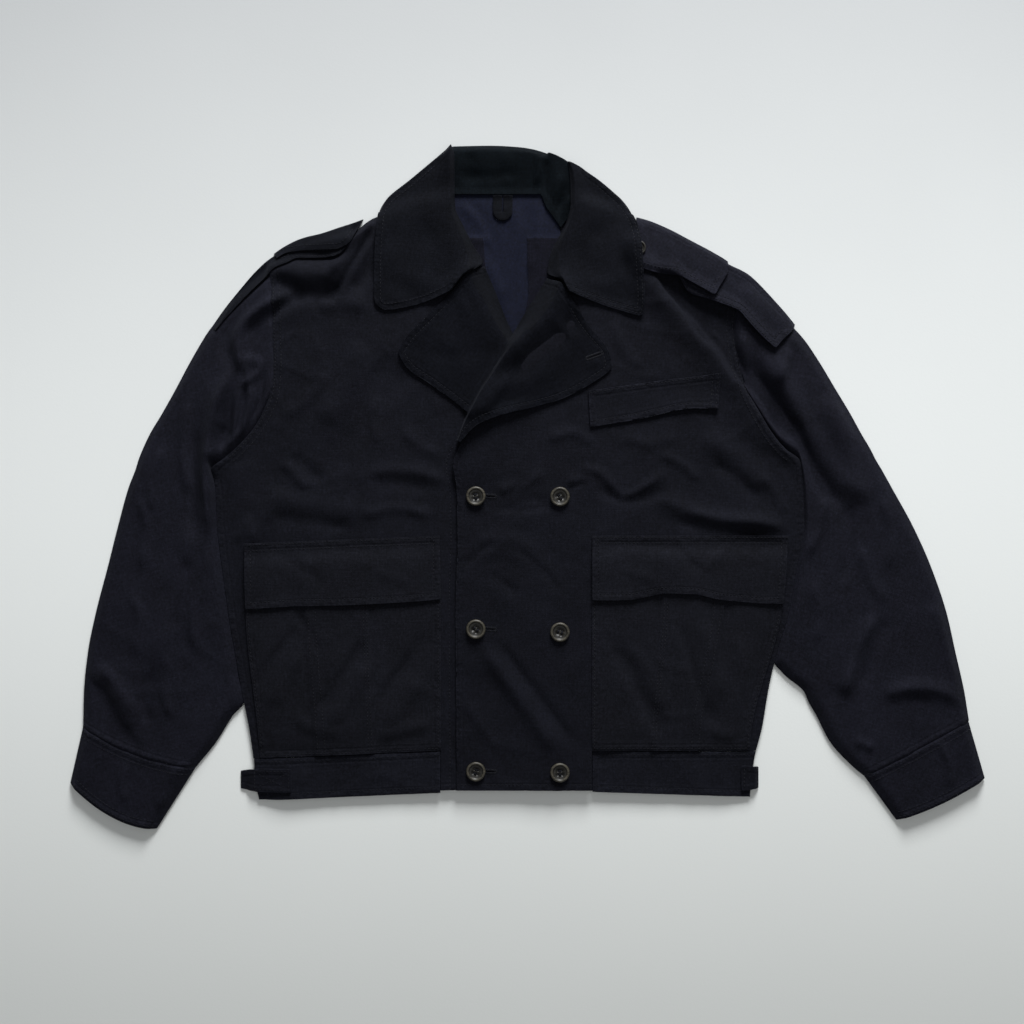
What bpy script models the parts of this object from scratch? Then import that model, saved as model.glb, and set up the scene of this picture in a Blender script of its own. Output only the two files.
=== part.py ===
"""Short double-breasted jacket laid flat on its back, in millimetres until the mesh is made."""
import bpy
import bmesh
from collections import namedtuple
from math import hypot, cos, sin, pi
from mathutils import Vector
from mathutils.bvhtree import BVHTree

# driving dimensions, millimetres
MM = 0.001
CLOTH = 2.0             # shell cloth with its facing
LINING = 1.2
POCKET_CLOTH = 1.6
SEAM = 0.3              # gap where pieces meet
LOFT = 3.0              # how far the upper layer rises off the lower one
SIDE_ROLL = 26.0        # width over which the side seams roll up
HEM_Y = -271.0          # seam between the body and its hem band
HEM_EDGE_Y = -311.0
BAND_EDGE_Y = -317.0
POCKET_BOTTOM_Y = -267.0
FLAP_BOTTOM_Y = -116.0
POCKET_TOP_Y = -72.0
FLAP_TOP_Y = -50.0
ARM_START_Y = -14.0     # above this the rows fan out towards the shoulder
NECK_SEAM_Y = 300.0
PLEAT_RAISE = 1.0
BUTTON_DIAMETER = 20.0
BUTTON_HEIGHT = 3.6
SHOULDER_BUTTON_DIAMETER = 15.0
SHOULDER_BUTTON = (117.0, 243.0)
BUTTON_COLUMNS = (-53.0, 33.0)
BUTTON_ROWS = (-10.0, -147.0, -291.5)

Outline = namedtuple("Outline", "y bodyRight bodyLeft armRight armLeft")
# the body's side seams and armholes, and the outer edges of the sleeves, from the hem up
OUTLINE = [
    Outline(-320, -276, 228, -476, 474), Outline(-300, -280, 230, -470, 468),
    Outline(-278, -281, 233, -463, 464), Outline(-246, -285, 241, -457, 455),
    Outline(-210, -292, 247, -456, 449), Outline(-170, -299, 256, -452, 440),
    Outline(-130, -306, 268, -444, 431), Outline(-80, -313, 277, -431, 414),
    Outline(-40, -318, 284, -421, 396), Outline(0, -321, 283, -410, 374),
    Outline(18, -324, 281, -403, 364), Outline(28, -313, 279, -400, 358),
    Outline(38, -301, 265, -396, 353), Outline(55, -285, 250, -388, 343),
    Outline(75, -272, 238, -376, 332), Outline(100, -263, 226, -362, 317),
    Outline(130, -261, 217, -346, 299), Outline(165, -262, 213, -325, 275),
    Outline(195, -262, 216, -303, 250), Outline(222, -264, 225, -279, 226),
    Outline(240, -265, 226, -263, 205),
]

Front = namedtuple("Front", "y pocketOuter pocketInner edge")
# columns of each front: pocket's outer and inner side, and the front edge or the fold of the lapel
FRONT_RIGHT = [
    Front(-311, -275, -89, 64), Front(-277, -275, -89, 64), Front(-125, -289, -89, 64),
    Front(-57, -290, -90, 64), Front(0, -292, -94, 64), Front(30, -284, -98, 64),
    Front(60, -264, -102, 46), Front(120, -248, -108, -4), Front(138, -243, -110, -17),
    Front(152, -241, -111, -28), Front(170, -240, -112, -41), Front(197, -238, -114, -55),
    Front(222, -236, -116, -65), Front(262, -230, -120, -77), Front(296, -225, -120, -84),
]
FRONT_LEFT = [
    Front(-311, 228, 66, -73), Front(-270, 228, 66, -73), Front(-125, 261, 66, -74),
    Front(-50, 267, 66, -72), Front(0, 266, 67, -73), Front(20, 264, 68, -77),
    Front(45, 244, 70, -68), Front(73, 228, 74, -55), Front(110, 212, 80, -35),
    Front(145, 205, 84, -11), Front(172, 200, 90, 18), Front(200, 200, 96, 33),
    Front(225, 205, 98, 37), Front(262, 205, 98, 44), Front(292, 205, 98, 52),
]

Shoulder = namedtuple("Shoulder", "x y")
SHOULDER_RIGHT = [
    Shoulder(-266, 226), Shoulder(-252, 234), Shoulder(-240, 241), Shoulder(-215, 248),
    Shoulder(-200, 253), Shoulder(-182, 259), Shoulder(-172, 266), Shoulder(-163, 273),
    Shoulder(-153, 278), Shoulder(-120, 288), Shoulder(-82, 294),
]
SHOULDER_LEFT = [
    Shoulder(48, 293), Shoulder(80, 282), Shoulder(107, 271), Shoulder(126, 264),
    Shoulder(147, 255), Shoulder(167, 244), Shoulder(188, 233), Shoulder(209, 221),
    Shoulder(226, 213),
]

Fold = namedtuple("Fold", "height width path")
# the largest folds of the upper layer: raised where height is positive
FOLDS = [
    Fold(7.0, 11, ((112, 240), (140, 200), (165, 165), (195, 135), (222, 100), (242, 66), (266, 34))),
    Fold(-2.5, 12, ((150, 205), (185, 180), (206, 165), (210, 135))),
    Fold(5.0, 9, ((-166, 272), (-184, 242), (-200, 215))),
    Fold(-2.5, 9, ((-160, 262), (-186, 222), (-205, 203), (-250, 182), (-284, 158))),
    Fold(4.0, 10, ((-156, 250), (-176, 215), (-196, 190))),
    Fold(5.0, 9, ((-258, 190), (-282, 172), (-296, 150), (-291, 122))),
    Fold(4.0, 6, ((-289, 129), (-275, 125), (-274, 114), (-287, 101), (-288, 74))),
    Fold(6.0, 10, ((-312, 112), (-322, 78), (-329, 38), (-330, 0), (-326, -50))),
    Fold(-3.0, 9, ((-318, 42), (-308, 60))),
    Fold(5.0, 12, ((-340, -30), (-352, -90), (-372, -150), (-385, -190))),
    Fold(4.0, 9, ((-440, -205), (-428, -196), (-404, -248))),
    Fold(-2.5, 12, ((240, 108), (268, 66), (290, 30), (306, 0), (322, -22))),
    Fold(6.0, 13, ((300, 96), (318, 60), (334, 20), (342, -20))),
    Fold(4.5, 10, ((352, -130), (334, -170), (322, -215))),
    Fold(4.0, 9, ((365, -214), (400, -206), (440, -211))),
    Fold(3.0, 12, ((-260, -14), (-215, -20), (-170, -28))),
    Fold(3.5, 9, ((-288, -56), (-266, -28), (-254, 2))),
    Fold(3.0, 12, ((-170, 150), (-186, 100), (-212, 66))),
    Fold(3.5, 10, ((135, -10), (166, -26), (202, -34), (264, -38))),
    Fold(3.0, 11, ((178, 52), (214, 30), (246, 0))),
    Fold(3.0, 10, ((-44, -165), (-20, -200), (6, -236), (30, -272))),
    Fold(2.5, 9, ((-58, -76), (-38, -66), (0, -71), (30, -95))),
    Fold(2.5, 10, ((160, -140), (176, -180), (186, -230))),
    Fold(2.5, 10, ((-185, -168), (-200, -214), (-211, -250))),
]

LOW_ROWS = (-267.0, -240, -205, -170, -140, -116, -94, -72, -50, -32)
ARM_ROWS = (0.0, .06, .125, .165, .205, .255, .315, .39, .48, .58, .68, .78, .87, .94, 1.0)
POCKET_COLUMNS = (0, .17, .335, .36, .5, .64, .665, .83, 1)
ARM_TIP = {"right": 226.0, "left": 213.0}
NECK_TIP = {"right": 294.0, "left": 292.0}


def blend(t):
    """smooth step from 0 to 1"""
    t = max(0.0, min(1.0, t))
    return t * t * (3 - 2 * t)


def mix(a, b, t):
    return a + (b - a) * t


def readTable(table, key, column, at):
    """value of a column where the key has the value at, on a smooth curve through the rows"""
    rows = sorted(table, key=lambda row: getattr(row, key))
    xs = [getattr(row, key) for row in rows]
    ys = [getattr(row, column) for row in rows]
    if at <= xs[0]:
        return ys[0]
    if at >= xs[-1]:
        return ys[-1]
    k = max(i for i in range(len(xs) - 1) if xs[i] <= at)
    slope = [(ys[i + 1] - ys[i]) / (xs[i + 1] - xs[i]) for i in range(len(xs) - 1)]

    def tangent(i):
        if i == 0 or i == len(xs) - 1:
            return slope[min(i, len(slope) - 1)]
        if slope[i - 1] * slope[i] <= 0:
            return 0.0
        return 2 * slope[i - 1] * slope[i] / (slope[i - 1] + slope[i])

    h = xs[k + 1] - xs[k]
    t = (at - xs[k]) / h
    return ((2 * t**3 - 3 * t**2 + 1) * ys[k] + (t**3 - 2 * t**2 + t) * h * tangent(k)
            + (3 * t**2 - 2 * t**3) * ys[k + 1] + (t**3 - t**2) * h * tangent(k + 1))


def sideName(side, name):
    return name + side.capitalize()


def bodySide(side, y):
    return readTable(OUTLINE, "y", sideName(side, "body"), y)


def shoulderY(side, x):
    return readTable(SHOULDER_RIGHT if side == "right" else SHOULDER_LEFT, "x", "y", x)


def alongPath(path, x, y):
    """distance from a path, and how far along it the nearest point is, 0 to 1"""
    lengths = [hypot(b[0] - a[0], b[1] - a[1]) for a, b in zip(path, path[1:])]
    total = sum(lengths)
    best = (1e9, 0.0)
    start = 0.0
    for (a, b), length in zip(zip(path, path[1:]), lengths):
        t = ((x - a[0]) * (b[0] - a[0]) + (y - a[1]) * (b[1] - a[1])) / length**2
        t = max(0.0, min(1.0, t))
        away = hypot(x - mix(a[0], b[0], t), y - mix(a[1], b[1], t))
        if away < best[0]:
            best = (away, (start + t * length) / total)
        start += length
    return best


def foldLift(x, y):
    lift = 0.0
    for fold in FOLDS:
        away, t = alongPath(fold.path, x, y)
        if away < 3 * fold.width:
            ends = blend(t / .22 + .25) * blend((1 - t) / .22 + .25)
            lift += fold.height * ends * 2.718 ** -(away / fold.width)**2
    return lift


def bodyHeight(side, x, y):
    """underside of the front, over the back"""
    fromSide = x - bodySide("right", y) if side == "right" else bodySide("left", y) - x
    rise = max(blend(fromSide / SIDE_ROLL), blend((y + 5) / 45))
    nearNeck = blend((x + 150) / 45) if side == "right" else blend((110 - x) / 40)
    top = max(nearNeck, blend((shoulderY(side, x) - y + 2) / 34))
    floor = CLOTH + SEAM
    folded = foldLift(x, y) * blend(fromSide / 10 + blend(y / 30))
    if side == "right":
        folded *= blend((-52 - x) / 14)
    return max(floor, floor + rise * top * (LOFT + folded))


def hemSlope(side, x, y):
    """the lower rows of the right front drop towards its side seam"""
    if side == "left":
        return 0.0
    return -8 * max(0.0, min(1.0, (-90 - x) / 195)) * blend((ARM_START_Y - y) / 20)


def frontPoint(side, row, column):
    """plan position of a point of the front: rows from the hem to the shoulder, columns from the side in"""
    table = FRONT_RIGHT if side == "right" else FRONT_LEFT
    upper = row > ARM_START_Y
    w = row - ARM_START_Y if upper else 0
    ySide = mix(ARM_START_Y, ARM_TIP[side], w) if upper else row
    yInner = mix(ARM_START_Y, NECK_TIP[side], w) if upper else row
    keys = [bodySide(side, ySide), readTable(table, "y", "pocketOuter", ySide),
            readTable(table, "y", "pocketInner", yInner), readTable(table, "y", "edge", yInner)]
    k = min(2, int(column))
    x = mix(keys[k], keys[k + 1], column - k)
    if upper:
        edge = shoulderY(side, x)
        y = mix(ARM_START_Y, edge, w)
        if column == 0:
            y = ySide
    else:
        y = row + hemSlope(side, x, row)
    return x, y


def frontColumns():
    """0 to 1 side strip, 1 to 2 across the pocket, 2 to 3 centre"""
    return [0, .4] + [1 + c for c in POCKET_COLUMNS] + [2.25, 2.5, 2.75, 3]


def frontRows():
    return [HEM_EDGE_Y, -291, HEM_Y] + list(LOW_ROWS) + [ARM_START_Y + w for w in ARM_ROWS]


def underlap(side, x, y):
    """how far the left front rides up over the right front and its lapel"""
    if side == "right":
        return 0.0
    lift = (CLOTH + SEAM) * blend((112 - x) / 42)
    away, t = alongPath(((20, 178), (-14, 145), (-57, 73), (-70, 45)), x, y)
    return lift + 5.0 * blend((62 - away) / 40)


def clothMaterial(name, colour, roughness, metallic=0.0):
    material = bpy.data.materials.new(name)
    material.use_nodes = True
    shader = material.node_tree.nodes["Principled BSDF"]
    shader.inputs["Base Color"].default_value = (*colour, 1)
    shader.inputs["Roughness"].default_value = roughness
    shader.inputs["Metallic"].default_value = metallic
    return material


def finish(bm, name, material):
    """one closed piece from the mesh, in triangles so that every neighbour sees the same surface"""
    bmesh.ops.recalc_face_normals(bm, faces=bm.faces[:])
    bmesh.ops.triangulate(bm, faces=bm.faces[:])
    mesh = bpy.data.meshes.new(name)
    bm.to_mesh(mesh)
    bm.free()
    thing = bpy.data.objects.new(name, mesh)
    mesh.materials.append(clothMaterial(name + "_finish", *material))
    bpy.data.collections["jacket"].objects.link(thing)
    return thing


def sheet(name, points, thickness, material, keep=None, raised=None):
    """closed sheet over a grid of underside points; raised gives extra thickness at a grid point"""
    rows = len(points)
    columns = len(points[0])
    bm = bmesh.new()
    bmesh.ops.create_grid(bm, x_segments=columns - 1, y_segments=rows - 1, size=1)
    thick = bm.verts.layers.float.new("thick")
    bm.verts.ensure_lookup_table()
    for i in range(rows):
        for j in range(columns):
            vert = bm.verts[i * columns + j]
            vert.co = Vector(points[i][j]) * MM
            vert[thick] = thickness + (raised(i, j) if raised else 0.0)
    if keep:
        bm.faces.ensure_lookup_table()
        cut = [bm.faces[i * (columns - 1) + j] for i in range(rows - 1) for j in range(columns - 1)
               if not keep(i, j)]
        bmesh.ops.delete(bm, geom=cut, context='FACES')
    made = bmesh.ops.extrude_face_region(bm, geom=bm.faces[:], use_keep_orig=True)
    for item in made["geom"]:
        if isinstance(item, bmesh.types.BMVert):
            item.co.z += item[thick] * MM
    return finish(bm, name, material)


def flatPiece(name, outline, bottom, thickness, material):
    """flat piece cut to an outline"""
    bm = bmesh.new()
    face = bm.faces.new([bm.verts.new((x * MM, y * MM, bottom * MM)) for x, y in outline])
    made = bmesh.ops.extrude_face_region(bm, geom=[face], use_keep_orig=True)
    moved = [v for v in made["geom"] if isinstance(v, bmesh.types.BMVert)]
    bmesh.ops.translate(bm, vec=(0, 0, thickness * MM), verts=moved)
    return finish(bm, name, material)


def upperSurface(things):
    """function that gives the top of the named pieces at a place, or nothing where there is none"""
    trees = []
    for thing in things:
        bm = bmesh.new()
        bm.from_mesh(thing.data)
        bmesh.ops.translate(bm, vec=thing.location, verts=bm.verts[:])
        trees.append(BVHTree.FromBMesh(bm))
        bm.free()

    def top(x, y, reach=0.0):
        best = 0.0
        turns = 8 if reach else 1
        spots = [(0, 0)] + [(reach * cos(2 * pi * k / turns), reach * sin(2 * pi * k / turns))
                            for k in range(turns)]
        for dx, dy in spots:
            start = Vector(((x + dx) * MM, (y + dy) * MM, 1.0))
            for tree in trees:
                hit = tree.ray_cast(start, Vector((0, 0, -1)))[0]
                if hit:
                    best = max(best, hit.z / MM)
        return best

    return top


ArmEdge = namedtuple("ArmEdge", "y right left")
# inner edge of each sleeve below the place where it leaves the body's side
ARM_INNER = [
    ArmEdge(-300, -346, 348), ArmEdge(-288, -341, 335), ArmEdge(-262, -320, 311),
    ArmEdge(-235, -304, 297), ArmEdge(-210, -294.5, 284), ArmEdge(-195, -296.6, 266),
    ArmEdge(-184, -297.5, 253.4),
]
Cuff = namedtuple("Cuff", "seamOuter seamInner edgeOuter edgeInner seamSag edgeSag")
SLEEVE_COLUMNS = (0, .05, .14, .24, .34, .44, .54, .64, .74, .84, .94, 1)
CUFFS = {
    "right": Cuff((-457, -247), (-341, -288), (-470, -304), (-381, -351), 8, 11),
    "left": Cuff((453, -240), (346, -297), (470, -299), (379, -342), 1, 4),
}
HEAD_LOW = 98.0                     # below this the sleeve's fold follows the lower armhole
ARM_EDGE_Z = 2.6                    # height of a sleeve's folded edges
ARM_WALL_INSET = 2.3
CUFF_SECTIONS = (0, .3, .65, 1)


def outwards(side):
    return -1 if side == "right" else 1


def sidePoints(side):
    """the body's edge at the front's rows: from the shoulder tip down the armhole and the side"""
    return [frontPoint(side, row, 0) for row in reversed(frontRows()) if row >= HEM_Y]


def lengthsAlong(points):
    steps = [0.0]
    for a, b in zip(points, points[1:]):
        steps.append(steps[-1] + hypot(b[0] - a[0], b[1] - a[1]))
    return [s / steps[-1] for s in steps]


def onPolyline(points, fractions, at):
    k = min(len(points) - 2, max(i for i in range(len(points)) if fractions[i] <= at + 1e-9))
    t = (at - fractions[k]) / (fractions[k + 1] - fractions[k])
    return mix(points[k][0], points[k + 1][0], t), mix(points[k][1], points[k + 1][1], t)


def sleevePlan(side):
    """function from across and along the sleeve, 0 to 1 each, to a place in plan, and its grid lines"""
    edge = [(x + outwards(side) * .9, y) for x, y in sidePoints(side)]
    head = [p for p in edge if p[1] > HEAD_LOW]
    inner = [p for p in edge if ARM_INNER[-1].y < p[1] <= head[-1][1]]
    inner += [(getattr(row, side), row.y) for row in reversed(ARM_INNER[:-1])
              if row.y > CUFFS[side].seamInner[1]]
    inner.append(CUFFS[side].seamInner)
    across = lengthsAlong(head)
    along = lengthsAlong(inner)
    tip = head[0]
    cuff = CUFFS[side]
    arm = sideName(side, "arm")
    inset = readTable(OUTLINE, "y", arm, tip[1]) - tip[0]

    def outer(v):
        y = mix(tip[1], cuff.seamOuter[1], v)
        return readTable(OUTLINE, "y", arm, y) - inset * (1 - blend((v - .17) / .06)), y

    def seam(u):
        a, b = outer(1), inner[-1]
        return mix(a[0], b[0], u), mix(a[1], b[1], u) - 4 * u * (1 - u) * cuff.seamSag

    def place(u, v):
        o, i = outer(v), onPolyline(inner, along, v)
        h, s = onPolyline(head, across, u), seam(u)
        a, b, c, d = head[0], head[-1], seam(0), seam(1)
        corner = [(1 - u) * (1 - v) * a[n] + u * (1 - v) * b[n] + (1 - u) * v * c[n] + u * v * d[n]
                  for n in (0, 1)]
        return tuple((1 - u) * o[n] + u * i[n] + (1 - v) * h[n] + v * s[n] - corner[n] for n in (0, 1))

    return place, across, along


def cuffPlan(side):
    cuff = CUFFS[side]

    def place(u, v):
        seam = (mix(cuff.seamOuter[0], cuff.seamInner[0], u),
                mix(cuff.seamOuter[1], cuff.seamInner[1], u) - 4 * u * (1 - u) * cuff.seamSag - .5)
        edge = (mix(cuff.edgeOuter[0], cuff.edgeInner[0], u),
                mix(cuff.edgeOuter[1], cuff.edgeInner[1], u) - 4 * u * (1 - u) * cuff.edgeSag)
        return mix(seam[0], edge[0], v), mix(seam[1], edge[1], v)

    return place


def tube(name, place, across, vs, material, loft):
    """flattened tube: one loop round the cloth's outer side and back along its inner side"""
    under = [(.03, 0), (.3, 0), (.7, 0), (.97, 0)]

    def ring(v, inside):
        ends = [Vector((*place(u, v), 0)) for u in (0, 1)]
        width = (ends[1] - ends[0]).length
        inset = ARM_WALL_INSET / width if inside else 0.0
        points = []
        for u in across:
            folded = u in (0, 1)
            u = min(1 - inset, max(inset, u))
            x, y = place(u, v)
            fromEdge = min(u, 1 - u) * width
            z = CLOTH + SEAM + LOFT * loft * blend(fromEdge / 16 + .35)
            z += foldLift(x, y) * blend(fromEdge / 14)
            z = max(z, CLOTH + SEAM)
            points.append((x, y, ARM_EDGE_Z if folded else z + (0 if inside else CLOTH)))
        for u, low in reversed(under):
            u = min(1 - inset * 2, max(inset * 2, u))
            points.append((*place(u, v), CLOTH if inside else low))
        return points

    rows = [ring(v, False) for v in vs] + [ring(v, True) for v in reversed(vs)]
    rows.append(rows[0])
    rows = [row + [row[0]] for row in rows]
    bm = bmesh.new()
    bmesh.ops.create_grid(bm, x_segments=len(rows[0]) - 1, y_segments=len(rows) - 1, size=1)
    bm.verts.ensure_lookup_table()
    for i, row in enumerate(rows):
        for j, point in enumerate(row):
            bm.verts[i * len(row) + j].co = Vector(point) * MM
    bmesh.ops.remove_doubles(bm, verts=bm.verts[:], dist=1e-6)
    return finish(bm, name, material)


# colours from the photo, linear, with roughness
SHELL = ((0.0085, 0.009, 0.0125), 0.85)
SLEEVE = ((0.0095, 0.0095, 0.0145), 0.85)
COLLAR = ((0.008, 0.0085, 0.012), 0.85)
INSIDE = ((0.013, 0.015, 0.026), 0.5)
HORN = ((0.06, 0.055, 0.05), 0.35)


def makeFront(side):
    columns = frontColumns()
    rows = frontRows()
    hem = rows.index(HEM_Y)
    centre = columns.index(2.0)
    points = []
    for row in rows:
        line = []
        for column in columns:
            x, y = frontPoint(side, row, column)
            line.append((x, y, bodyHeight(side, x, y) + underlap(side, x, y)))
        points.append(line)
    piece = sheet("front_" + side, points, CLOTH, SHELL, keep=lambda i, j: i >= hem or j >= centre)
    return piece, points, rows, columns


def makePocket(side, points, rows, columns):
    """patch pocket with a box pleat, and its flap, from the front's own points moved out"""
    low = rows.index(POCKET_BOTTOM_Y)
    top = rows.index(POCKET_TOP_Y)
    flapLow = rows.index(FLAP_BOTTOM_Y)
    flapTop = rows.index(FLAP_TOP_Y)
    first = columns.index(1.0)
    last = columns.index(2.0)
    pleat = (columns.index(1 + POCKET_COLUMNS[3]), columns.index(1 + POCKET_COLUMNS[5]))
    pocketLift = CLOTH + SEAM
    cut = [[(x, y, z + pocketLift) for x, y, z in line[first:last + 1]] for line in points[low:top + 1]]
    sheet("pocket_" + side, cut, POCKET_CLOTH, SHELL,
          raised=lambda i, j: PLEAT_RAISE if pleat[0] <= j + first <= pleat[1] else 0.0)
    flapLift = pocketLift + POCKET_CLOTH + PLEAT_RAISE + SEAM
    flap = []
    for i in range(flapLow, flapTop + 1):
        settle = (i - flapLow) / (flapTop - flapLow)
        lift = mix(flapLift + .3, flapLift, settle)
        if i > top:
            lift = mix(flapLift, pocketLift, (i - top) / (flapTop - top))
        flap.append([(x, y, z + lift) for x, y, z in points[i][first:last + 1]])
    sheet("flap_" + side, flap, CLOTH, SHELL)


def makeBand(side, columns):
    """hem band from the side seam to the seam beside the front edge"""
    kept = [c for c in columns if c <= 2.0]
    points = []
    for part in (0, .33, .67, 1):
        line = []
        for column in kept:
            x, y = frontPoint(side, HEM_Y, column)
            low = mix(BAND_EDGE_Y, BAND_EDGE_Y - 3.5, blend((abs(x) - 90) / 180))
            y = mix(low, y - .5, part)
            edge = bodySide(side, y)
            if column < 1:
                x = mix(edge, frontPoint(side, HEM_Y, 1)[0], column)
            x = x + outwards(side) * .5 if column == 2.0 else x
            line.append((x, y, bodyHeight(side, x, y)))
        points.append(line)
    return sheet("band_" + side, points, CLOTH, SHELL)


def backOutline():
    """side seams, armholes, shoulders and neck of the back, the right side first"""
    right = sidePoints("right")[::-1] + [(row.x, row.y) for row in SHOULDER_RIGHT[1:]]
    left = sidePoints("left")[::-1] + [(row.x, row.y) for row in reversed(SHOULDER_LEFT[:-1])]
    neck = [(-80, NECK_SEAM_Y - .5), (46, NECK_SEAM_Y - .5)]
    return right + neck + left[::-1]


def makeBack():
    flatPiece("back", backOutline(), 0, CLOTH, SHELL)
    bottom = [(-276, -320), (-180, -319), (-80, BAND_EDGE_Y), (60, BAND_EDGE_Y + 2), (160, -318), (228, -320)]
    ends = [(bodySide("left", -300), -300), (bodySide("left", HEM_Y - 2), HEM_Y - 1.6)]
    ends += [(bodySide("right", HEM_Y - 8), HEM_Y - 8.1), (bodySide("right", -300), -300)]
    flatPiece("back_band", bottom + ends, 0, CLOTH, SHELL)


# the lining shows only inside the neck, with 10 mm more under the facings
LINING_EDGE = [(-84, 299.3), (-84, 268), (-76, 246), (-58, 212), (-44, 178), (-16, 130),
               (10, 146), (20, 176), (28, 212), (34, 258), (30, 270), (20, 286), (12, 299.3)]

# the fold-down back of the collar, under its stand
COLLAR_BACK_EDGE = [
    (47.5, 300.3), (49.5, 295), (80, 285), (102, 277.5), (100, 284), (85, 299), (58, 320), (44, 328.5),
    (20, 339), (-5, 343), (-40, 345.5), (-77, 345), (-96, 330), (-121, 309), (-141, 292), (-138, 286.5),
    (-120, 290.5), (-83.5, 296.5), (-82, 300.3),
]


Strip = namedtuple("Strip", "outer fold tuck")
# each row crosses the lapel or collar wing: free edge, folded edge, and where it is tucked in
LAPEL_RIGHT = [
    Strip((-79, 198.5), (-60, 221), (-44, 226)), Strip((-100, 178), (-50, 197), (-33, 200)),
    Strip((-125, 152), (-36, 170), (-22, 172)), Strip((-132, 138), (-24, 152), (-14, 155)),
    Strip((-124, 122), (-12, 138), (-8, 140)), Strip((-100, 105), (-20, 118), (-17, 120)),
    Strip((-78, 89), (-33, 99), (-30, 101)), Strip((-60, 75), (-44, 81), (-41, 83)),
]
LAPEL_LEFT = [
    Strip((42.5, 196), (34, 208), (20, 214)), Strip((62, 165), (22, 184), (6, 192)),
    Strip((83, 139), (8, 166), (-4, 176)), Strip((86, 123), (-8, 151), (-15, 157)),
    Strip((62, 103.5), (-22, 134), (-25, 137)), Strip((32, 88.5), (-35, 114), (-38, 116)),
    Strip((2, 80), (-46, 97), (-49, 99)), Strip((-26, 73), (-54, 82), (-57, 84)),
    Strip((-52, 62), (-63, 66), (-66, 67)), Strip((-68, 45), (-71, 46), (-73, 47)),
]
WING_RIGHT = [
    Strip((-84, 347), (-79.6, 350), (-78.4, 351)), Strip((-97, 336), (-80, 338), (-75, 338)),
    Strip((-121, 316), (-80, 320), (-75, 320)), Strip((-145, 296), (-80, 302), (-75, 302)),
    Strip((-153, 281), (-79, 285), (-74, 286)), Strip((-155, 262), (-73, 266), (-66, 268)),
    Strip((-156.5, 240), (-65, 244), (-56, 248)), Strip((-157, 215), (-61, 224), (-46, 230)),
    Strip((-157, 193), (-68, 214), (-66, 216)), Strip((-151, 177.5), (-79, 200), (-77, 202)),
]
WING_LEFT = [
    Strip((60, 325), (43, 332), (41, 333)), Strip((73, 316), (47, 319), (43, 320)),
    Strip((88, 303.5), (49, 305), (44, 305)), Strip((99, 293), (49, 290), (44, 289)),
    Strip((108, 279), (45, 273), (40, 272)), Strip((114, 262), (40, 260), (33, 258)),
    Strip((116.5, 240), (34.5, 242), (24, 240)), Strip((118, 217), (34, 224), (20, 220)),
    Strip((119, 194), (37, 209), (35.5, 210)), Strip((110, 171.5), (42.5, 198), (41, 199)),
]


def stripPoints(table, perRow, spans):
    """plan points of a strip: smooth along its rows; a span runs between two columns of the table"""
    Row = namedtuple("Row", "k value")

    def column(part, at):
        return [readTable([Row(k, getattr(row, part)[axis]) for k, row in enumerate(table)], "k", "value", at)
                for axis in (0, 1)]

    lines = []
    for step in range(perRow * (len(table) - 1) + 1):
        at = step / perRow
        line = []
        for start, end, places in spans:
            a, b = column(start, at), column(end, at)
            line += [(mix(a[0], b[0], t), mix(a[1], b[1], t)) for t in places]
        lines.append(line)
    return lines


Patch = namedtuple("Patch", "outer inner")
# shoulder saddles and epaulettes: each row runs from the shoulder's edge to the lower edge
SADDLE_RIGHT = [
    Patch((-326, 163), (-319, 160)), Patch((-312, 183), (-304, 178)), Patch((-296, 203), (-287, 196)),
    Patch((-280, 221.5), (-270, 212)), Patch((-265, 235), (-257, 224)), Patch((-252, 242.5), (-246, 229)),
    Patch((-238, 250.5), (-234, 234.5)), Patch((-215, 256.5), (-213, 234.5)),
    Patch((-196, 262), (-195, 236.5)), Patch((-182, 267), (-186, 243)),
]
SADDLE_LEFT = [
    Patch((112, 273.5), (114, 230)), Patch((128, 269), (131, 224)), Patch((148, 260), (150, 220)),
    Patch((165, 251), (165, 199)), Patch((188, 239), (190, 190)), Patch((209, 228), (214, 180)),
    Patch((226, 219.5), (225, 168)), Patch((246, 200.5), (237, 155)), Patch((262, 183), (252, 144)),
    Patch((275, 167), (271, 161)),
]
EPAULETTE_RIGHT = [
    Patch((-261, 240), (-257, 234)), Patch((-250, 247.5), (-246, 240)), Patch((-232, 256), (-230, 242)),
    Patch((-212, 261), (-211, 242.5)), Patch((-194, 267), (-193, 243)), Patch((-180, 271.5), (-181, 250)),
    Patch((-169, 275.5), (-172, 268)),
]
EPAULETTE_LEFT = [
    Patch((112, 277.5), (111, 225)), Patch((126, 273.5), (128, 219)), Patch((147, 264.5), (150, 216.5)),
    Patch((167, 254), (168, 208)), Patch((188, 243), (186, 198)), Patch((199, 236.5), (192.5, 196.5)),
    Patch((206, 232), (204, 218)),
]
CHEST_FLAP = [
    Patch((62, 98), (64, 61)), Patch((95, 103), (97, 65.5)), Patch((130, 108), (130, 70)),
    Patch((163, 112), (162, 78)), Patch((197, 116), (195, 80)),
]
STAND = [
    Strip((-77, 300.3), (-77, 341), (-76, 350.5)), Strip((-40, 300.3), (-40, 342), (-39, 351)),
    Strip((-5, 300.3), (-5, 341), (-4, 349)), Strip((12, 300.3), (16, 337), (20, 345)),
    Strip((21, 285), (36, 312), (40, 321)), Strip((30, 274), (38, 290), (42, 296)),
    Strip((35, 267), (38, 272), (40.5, 275)),
]
Strap = namedtuple("Strap", "upper lower height")
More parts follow.
